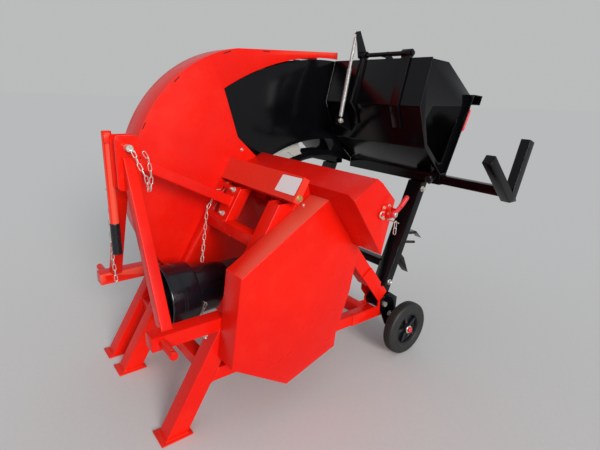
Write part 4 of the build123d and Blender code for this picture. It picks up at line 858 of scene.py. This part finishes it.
# ---------------------------------------------------------------- chains
# Each chain: its run, the way from the carrier's face to the chain, and that face's place.
CHAIN_RUNS = [
    ([(316, -634, 1000), (326, -616, 945), (334, -600, 905), (328, -594, 862), (312, -580, 858),
      (310, -574, 905), (310, -580, 965), (312, -600, 1000)], AXIS_X, 296.0),
    ([(122, -672, 838), (121, -680, 700), (120, -682, 560), (118, -676, 440)],
     (0, -1, 0), -655.0),
    ([(126, -226, 786), (140, -284, 705), (168, -306, 650), (200, -330, 600), (246, -366, 509)],
     (0, -1, 0), -211.1),
    ([(366, -410, 390), (362, -432, 335), (352, -462, 306), (338, -498, 288)], AXIS_X, 348.2),
    ([(850, 112, 770), (850, 110, 715)], AXIS_X, 820.0),
]
LINK_LONG, LINK_WIDE, LINK_WIRE, LINK_PITCH = 30.0, 14.0, 3.0, 23.7
EYE_R, EYE_GAP = 2.2, 0.3
LINK_END_STEPS = 8


def link_path(centre, along, across):
    half, bend = (LINK_LONG - LINK_WIDE) / 2 / MM, (LINK_WIDE - LINK_WIRE) / 2 / MM
    path = []
    for sign in (1, -1):
        for k in range(LINK_END_STEPS + 1):
            a = math.pi * (k / LINK_END_STEPS - 0.5)
            path.append(centre + sign * (along * (half + bend * math.cos(a))
                                         + across * (bend * math.sin(a))))
    return path


def chain_links(bm, path, across):
    """Links along the path, each turned a quarter to the one before."""
    left, turned = LINK_PITCH / 2 / MM, False
    for a, b in zip(path, path[1:]):
        run = b - a
        along = run.normalized()
        flat_side = (across - along * across.dot(along)).normalized()
        while left <= run.length:
            flat = along.cross(flat_side) if turned else flat_side
            sweep(bm, link_path(a + along * left, along, flat.cross(along)), LINK_WIRE / 2 / MM, 8,
                  closed=True, up=flat)
            left += LINK_PITCH / MM
            turned = not turned
        left -= run.length


def chains():
    """Rigid chains, each on an eye that stands on the face of its carrier."""
    bm = bmesh.new()
    for points, outwards, face in CHAIN_RUNS:
        across = Vector(outwards)
        path = placed(points)
        down = (path[1] - path[0]).normalized()
        spot = path[0] + down * (EYE_R + EYE_GAP) / MM
        origin = (Vector((face, face, 0)) / MM - ORIGIN).dot(Vector(map(abs, outwards)))
        back = spot.dot(across) - origin * sum(outwards)
        sweep(bm, [spot - across * back, spot + across * LINK_WIDE / MM], EYE_R / MM, 14)
        chain_links(bm, path, across)
    piece = as_piece("link_chains", bm, "zinc", body_of("chains"), 60)
    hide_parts("chains")


# ---------------------------------------------------------------- grips, knob, latch
# Turned profiles and sizes are in metres: (along the axis, radius).
KNOB_AT, KNOB_LOBES, KNOB_R, KNOB_STEPS = (620, 628, 837), 5, 0.0210, 90
LOBE_MEAN, LOBE_SWING = 0.885, 0.115
KNOB_COLLAR = [(0.0, 0.0), (0.0, 0.0105), (0.012, 0.0115), (0.016, 0.0125), (0.016, 0.0)]
KNOB_ROWS = ((0.014, 0.80), (0.0155, 0.93), (0.018, 1.0), (0.026, 1.0), (0.0295, 0.95),
             (0.0315, 0.84), (0.032, 0.70))  # (along the axis, share of the radius)
SCREW_START, SCREW_PITCH, SCREW_TURNS = -0.0135, 0.0016, 16


def knob():
    """Five-lobed grip on a short collar and its screw."""
    centre, axis = at(*KNOB_AT), Vector((0, -1, 0))
    side, other = Vector(AXIS_X), Vector(AXIS_Z)
    bm = bmesh.new()
    lathe(bm, centre, axis, KNOB_COLLAR, 36)
    rings = []
    for t, share in KNOB_ROWS:
        ring = []
        for k in range(KNOB_STEPS):
            a = 2 * math.pi * k / KNOB_STEPS
            r = KNOB_R * share * (LOBE_MEAN + LOBE_SWING * math.cos(KNOB_LOBES * a))
            around = (side * math.cos(a) + other * math.sin(a)) * r
            ring.append(bm.verts.new(centre + axis * t + around))
        rings.append(ring)
    for low, high in zip(rings, rings[1:]):
        bridge(bm, low, high)
    cap_ends(bm, rings)
    bmesh.ops.recalc_face_normals(bm, faces=bm.faces)
    piece = as_piece("lobed_knob", bm, "black_plastic", body_of("clamp_knob"), 40)
    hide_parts("clamp_knob")
    bm = bmesh.new()
    thread = [(SCREW_START, 0.0)]
    for k in range(SCREW_TURNS):
        thread += [(SCREW_START + SCREW_PITCH * k, 0.0044),
                   (SCREW_START + SCREW_PITCH * (k + 0.5), 0.0050)]
    thread += [(0.0122, 0.0046), (0.0122, 0.0)]
    lathe(bm, centre, axis, thread, 24)
    as_piece("knob_screw", bm, "zinc", body_of("clamp_knob"), 60)


LATCH_PIVOT = (852, 96, 800)
HANDLE_LOW, HANDLE_HIGH = (852, 130, 826), (852, 158, 854)
LATCH_LOOP = [(833, 64, 792), (833, 50, 790), (833, 44, 800), (833, 50, 810), (833, 64, 808)]
LATCH_SCREWS = ((70, 782), (70, 822), (98, 826), (99, 777))  # (y, z)
LATCH_CAP = [(0, 0), (0, 0.0085), (0.003, 0.0085), (0.004, 0.0070), (0.004, 0)]
LATCH_HUB = [(-0.006, 0.0054), (-0.006, 0.0128), (-0.005, 0.0140), (0.005, 0.0140),
             (0.006, 0.0128), (0.006, 0.0054)]
HANDLE_RIBS, HANDLE_PITCH = 5, 0.0075


def latch():
    bm = bmesh.new()
    for y in (84, 112):
        box_between(bm, at(825, y - 4, 783), at(846, y, 818), 0.0015)
    box_between(bm, at(820, 62, 774), at(825, 118, 830), 0.0012)
    as_piece("latch_plate", bm, "red_paint", body_of("latch_base"))
    bm = bmesh.new()
    for y, z in LATCH_SCREWS:
        hex_bolt(bm, at(825, y, z), AXIS_X, 0.008, 0.0045, 0.001)
    sweep(bm, placed([(838, 78, 802), (838, 120, 802)]), 0.0042, 16)
    sweep(bm, placed([(820, 96, 800), (863, 96, 800)]), 0.0049, 18)
    lathe(bm, at(859, 96, 800), AXIS_X, LATCH_CAP, 24)
    sweep(bm, smooth_path(placed(LATCH_LOOP), 0.002), 0.0026, 10)
    piece = as_piece("latch_bracket", bm, "zinc", body_of("latch_base"))
    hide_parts("latch_base")
    bm = bmesh.new()
    pivot = at(*LATCH_PIVOT)
    turn = Matrix.Translation(pivot) @ Matrix.Rotation(math.atan2(26, 34), 4, "X")
    box_between(bm, (-0.004, -0.010, -0.008), (0.004, 0.046, 0.008), 0.0016, turn)
    lathe(bm, pivot, AXIS_X, LATCH_HUB, 40)
    low, high = at(*HANDLE_LOW), at(*HANDLE_HIGH)
    reach = (high - low).length
    profile = [(-0.004, 0.0), (-0.004, 0.0070), (-0.002, 0.0088)]
    for k in range(HANDLE_RIBS):
        t = 0.002 + k * HANDLE_PITCH
        profile += [(t, 0.0090), (t + 0.003, 0.0090), (t + 0.0038, 0.0085), (t + 0.0062, 0.0085)]
    profile += [(reach - 0.002, 0.0090), (reach + 0.003, 0.0078), (reach + 0.0062, 0.0045),
                (reach + 0.0070, 0.0)]
    lathe(bm, low, (high - low).normalized(), profile, 36)
    piece = as_piece("latch_handle", bm, "red_plastic", body_of("latch_lever"))
    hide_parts("latch_lever")


GRIP_TOP, GRIP_RIBS, GRIP_PITCH = (172, -676, 715), 13, 0.0078
GRIP_COLLAR = [(0.0, 0.0132), (0.0, 0.0172), (0.0015, 0.0182), (0.006, 0.0182), (0.008, 0.0172)]
GRIP_END = [(0.114, 0.0170), (0.116, 0.0186), (0.120, 0.0186), (0.123, 0.0160), (0.123, 0.0),
            (0.065, 0.0), (0.065, 0.0132)]
GRIP_BUTTON = [(0, 0), (0, 0.006), (0.006, 0.006), (0.008, 0.0045), (0.0085, 0)]
HANDLE_CAP = [(0, 0), (0, 0.0169), (0.004, 0.0169), (0.0062, 0.0152), (0.007, 0.0)]


def towing_handle():
    profile = list(GRIP_COLLAR)
    for k in range(GRIP_RIBS):
        t = 0.010 + GRIP_PITCH * k
        profile += [(t, 0.0170), (t + 0.0012, 0.0179), (t + 0.0054, 0.0179), (t + 0.0066, 0.0170)]
    bm = bmesh.new()
    lathe(bm, at(*GRIP_TOP), (0, 0, -1), profile + GRIP_END, 48)
    lathe(bm, at(188, -676, 668), AXIS_X, GRIP_BUTTON, 24)
    piece = as_piece("ribbed_grip", bm, "black_plastic", body_of("handle_grip"))
    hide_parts("handle_grip")
    bm = bmesh.new()
    lathe(bm, at(172, -676, 1048), AXIS_Z, HANDLE_CAP, 40)
    as_piece("handle_cap", bm, "red_paint", body_of("transport_handle"))


# ---------------------------------------------------------------- shield
SHIELD_MOUTH = (245, -546, 400)
SHIELD_LIP = [(0.0, 0.1275), (0.0008, 0.1292), (0.0022, 0.1300), (0.0065, 0.1300),
              (0.0080, 0.1286)]
GROOVES, BELL_R, BELL_TAPER = (0.046, 0.056), 0.1296, 0.035
SHIELD_BARREL = [(0.1105, 0.1262), (0.1140, 0.1252), (0.1160, 0.1225), (0.1245, 0.1060),
                 (0.1270, 0.1040), (0.2450, 0.0980), (0.2480, 0.0975), (0.2735, 0.0902),
                 (0.2770, 0.0895)]
SHIELD_INSIDE = [(0.2770, 0.0260), (0.2735, 0.0260), (0.2735, 0.0862), (0.2460, 0.0940),
                 (0.1280, 0.0998), (0.1245, 0.1015), (0.1150, 0.1200), (0.1120, 0.1222),
                 (0.0040, 0.1258), (0.0, 0.1262)]


def shield():
    """Moulded shield: rolled lip and two grooves on the bell, then a smooth barrel and neck."""
    bell = []
    for t in GROOVES:
        r = BELL_R - BELL_TAPER * t
        bell += [(t - 0.0035, r), (t - 0.002, r - 0.0014), (t + 0.002, r - 0.0015),
                 (t + 0.0035, r - 0.0002)]
    bm = bmesh.new()
    profile = SHIELD_LIP + bell + SHIELD_BARREL + SHIELD_INSIDE
    lathe(bm, at(*SHIELD_MOUTH), AXIS_Y, profile, 120)
    piece = as_piece("moulded_shield", bm, "shield_plastic", body_of("pto_shield"),
                     30)
    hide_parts("pto_shield")


# ---------------------------------------------------------------- floor and light
FLOOR, FLOOR_DARKER = (0.66, 0.66, 0.655), 0.97
FLOOR_HALF, FLOOR_DROP = 60, 0.0005
BACKDROP = (0.495, 0.50, 0.50)
SKY, SKY_STRENGTH = (0.93, 0.96, 1.0), 0.50
KEY_FROM, KEY_POWER, KEY_DEGREES, KEY_COLOUR = (0.92, -0.18, 0.34), 2.6, 24, (1.0, 0.98, 0.95)


def make_stage():
    bm = bmesh.new()
    bmesh.ops.create_grid(bm, x_segments=1, y_segments=1, size=FLOOR_HALF)
    floor = new_object("floor", bm)
    floor.location.z = -FLOOR_DROP
    material, tree, shader = new_material("floor")
    grain = span(tree, noise(tree, place(tree), 60.0, 3.0), NOISE_LOW, NOISE_HIGH, 0.0, 1.0)
    darker = tuple(FLOOR_DARKER * c for c in FLOOR)
    tree.links.new(mix(tree, grain, FLOOR, darker), shader.inputs["Base Color"])
    shader.inputs["Roughness"].default_value = 0.9
    shader.inputs["Specular IOR Level"].default_value = 0.0
    dress(floor, material)


def make_sky():
    """Even light from all round, and a pale backdrop that only the camera sees."""
    world = bpy.data.worlds.new("studio")
    world.use_nodes = True
    tree = world.node_tree
    sky = tree.nodes["Background"]
    sky.inputs["Color"].default_value = (*SKY, 1.0)
    sky.inputs["Strength"].default_value = SKY_STRENGTH
    backdrop = tree.nodes.new("ShaderNodeBackground")
    backdrop.inputs["Color"].default_value = (*BACKDROP, 1.0)
    either = tree.nodes.new("ShaderNodeMixShader")
    rays = tree.nodes.new("ShaderNodeLightPath")
    tree.links.new(rays.outputs["Is Camera Ray"], either.inputs[0])
    tree.links.new(sky.outputs[0], either.inputs[1])
    tree.links.new(backdrop.outputs[0], either.inputs[2])
    tree.links.new(either.outputs[0], tree.nodes["World Output"].inputs["Surface"])
    bpy.context.scene.world = world


def make_key():
    """One low, soft sun from +X, the side of the belt guard."""
    data = bpy.data.lights.new("key", "SUN")
    data.energy, data.angle, data.color = KEY_POWER, math.radians(KEY_DEGREES), KEY_COLOUR
    lamp = bpy.data.objects.new("key", data)
    lamp.rotation_euler = (-Vector(KEY_FROM)).to_track_quat("-Z", "Y").to_euler()
    bpy.context.scene.collection.objects.link(lamp)


make_camera()
plain_nodes()
ease_all()
weld_seams()
main_beam()
hood()
blank_label()
tab_marks()
bolts()
wheels()
blade_slots()
spring_strut()
chains()
knob()
latch()
towing_handle()
shield()
make_stage()
make_sky()
make_key()
bpy.context.scene.view_settings.view_transform = "Standard"
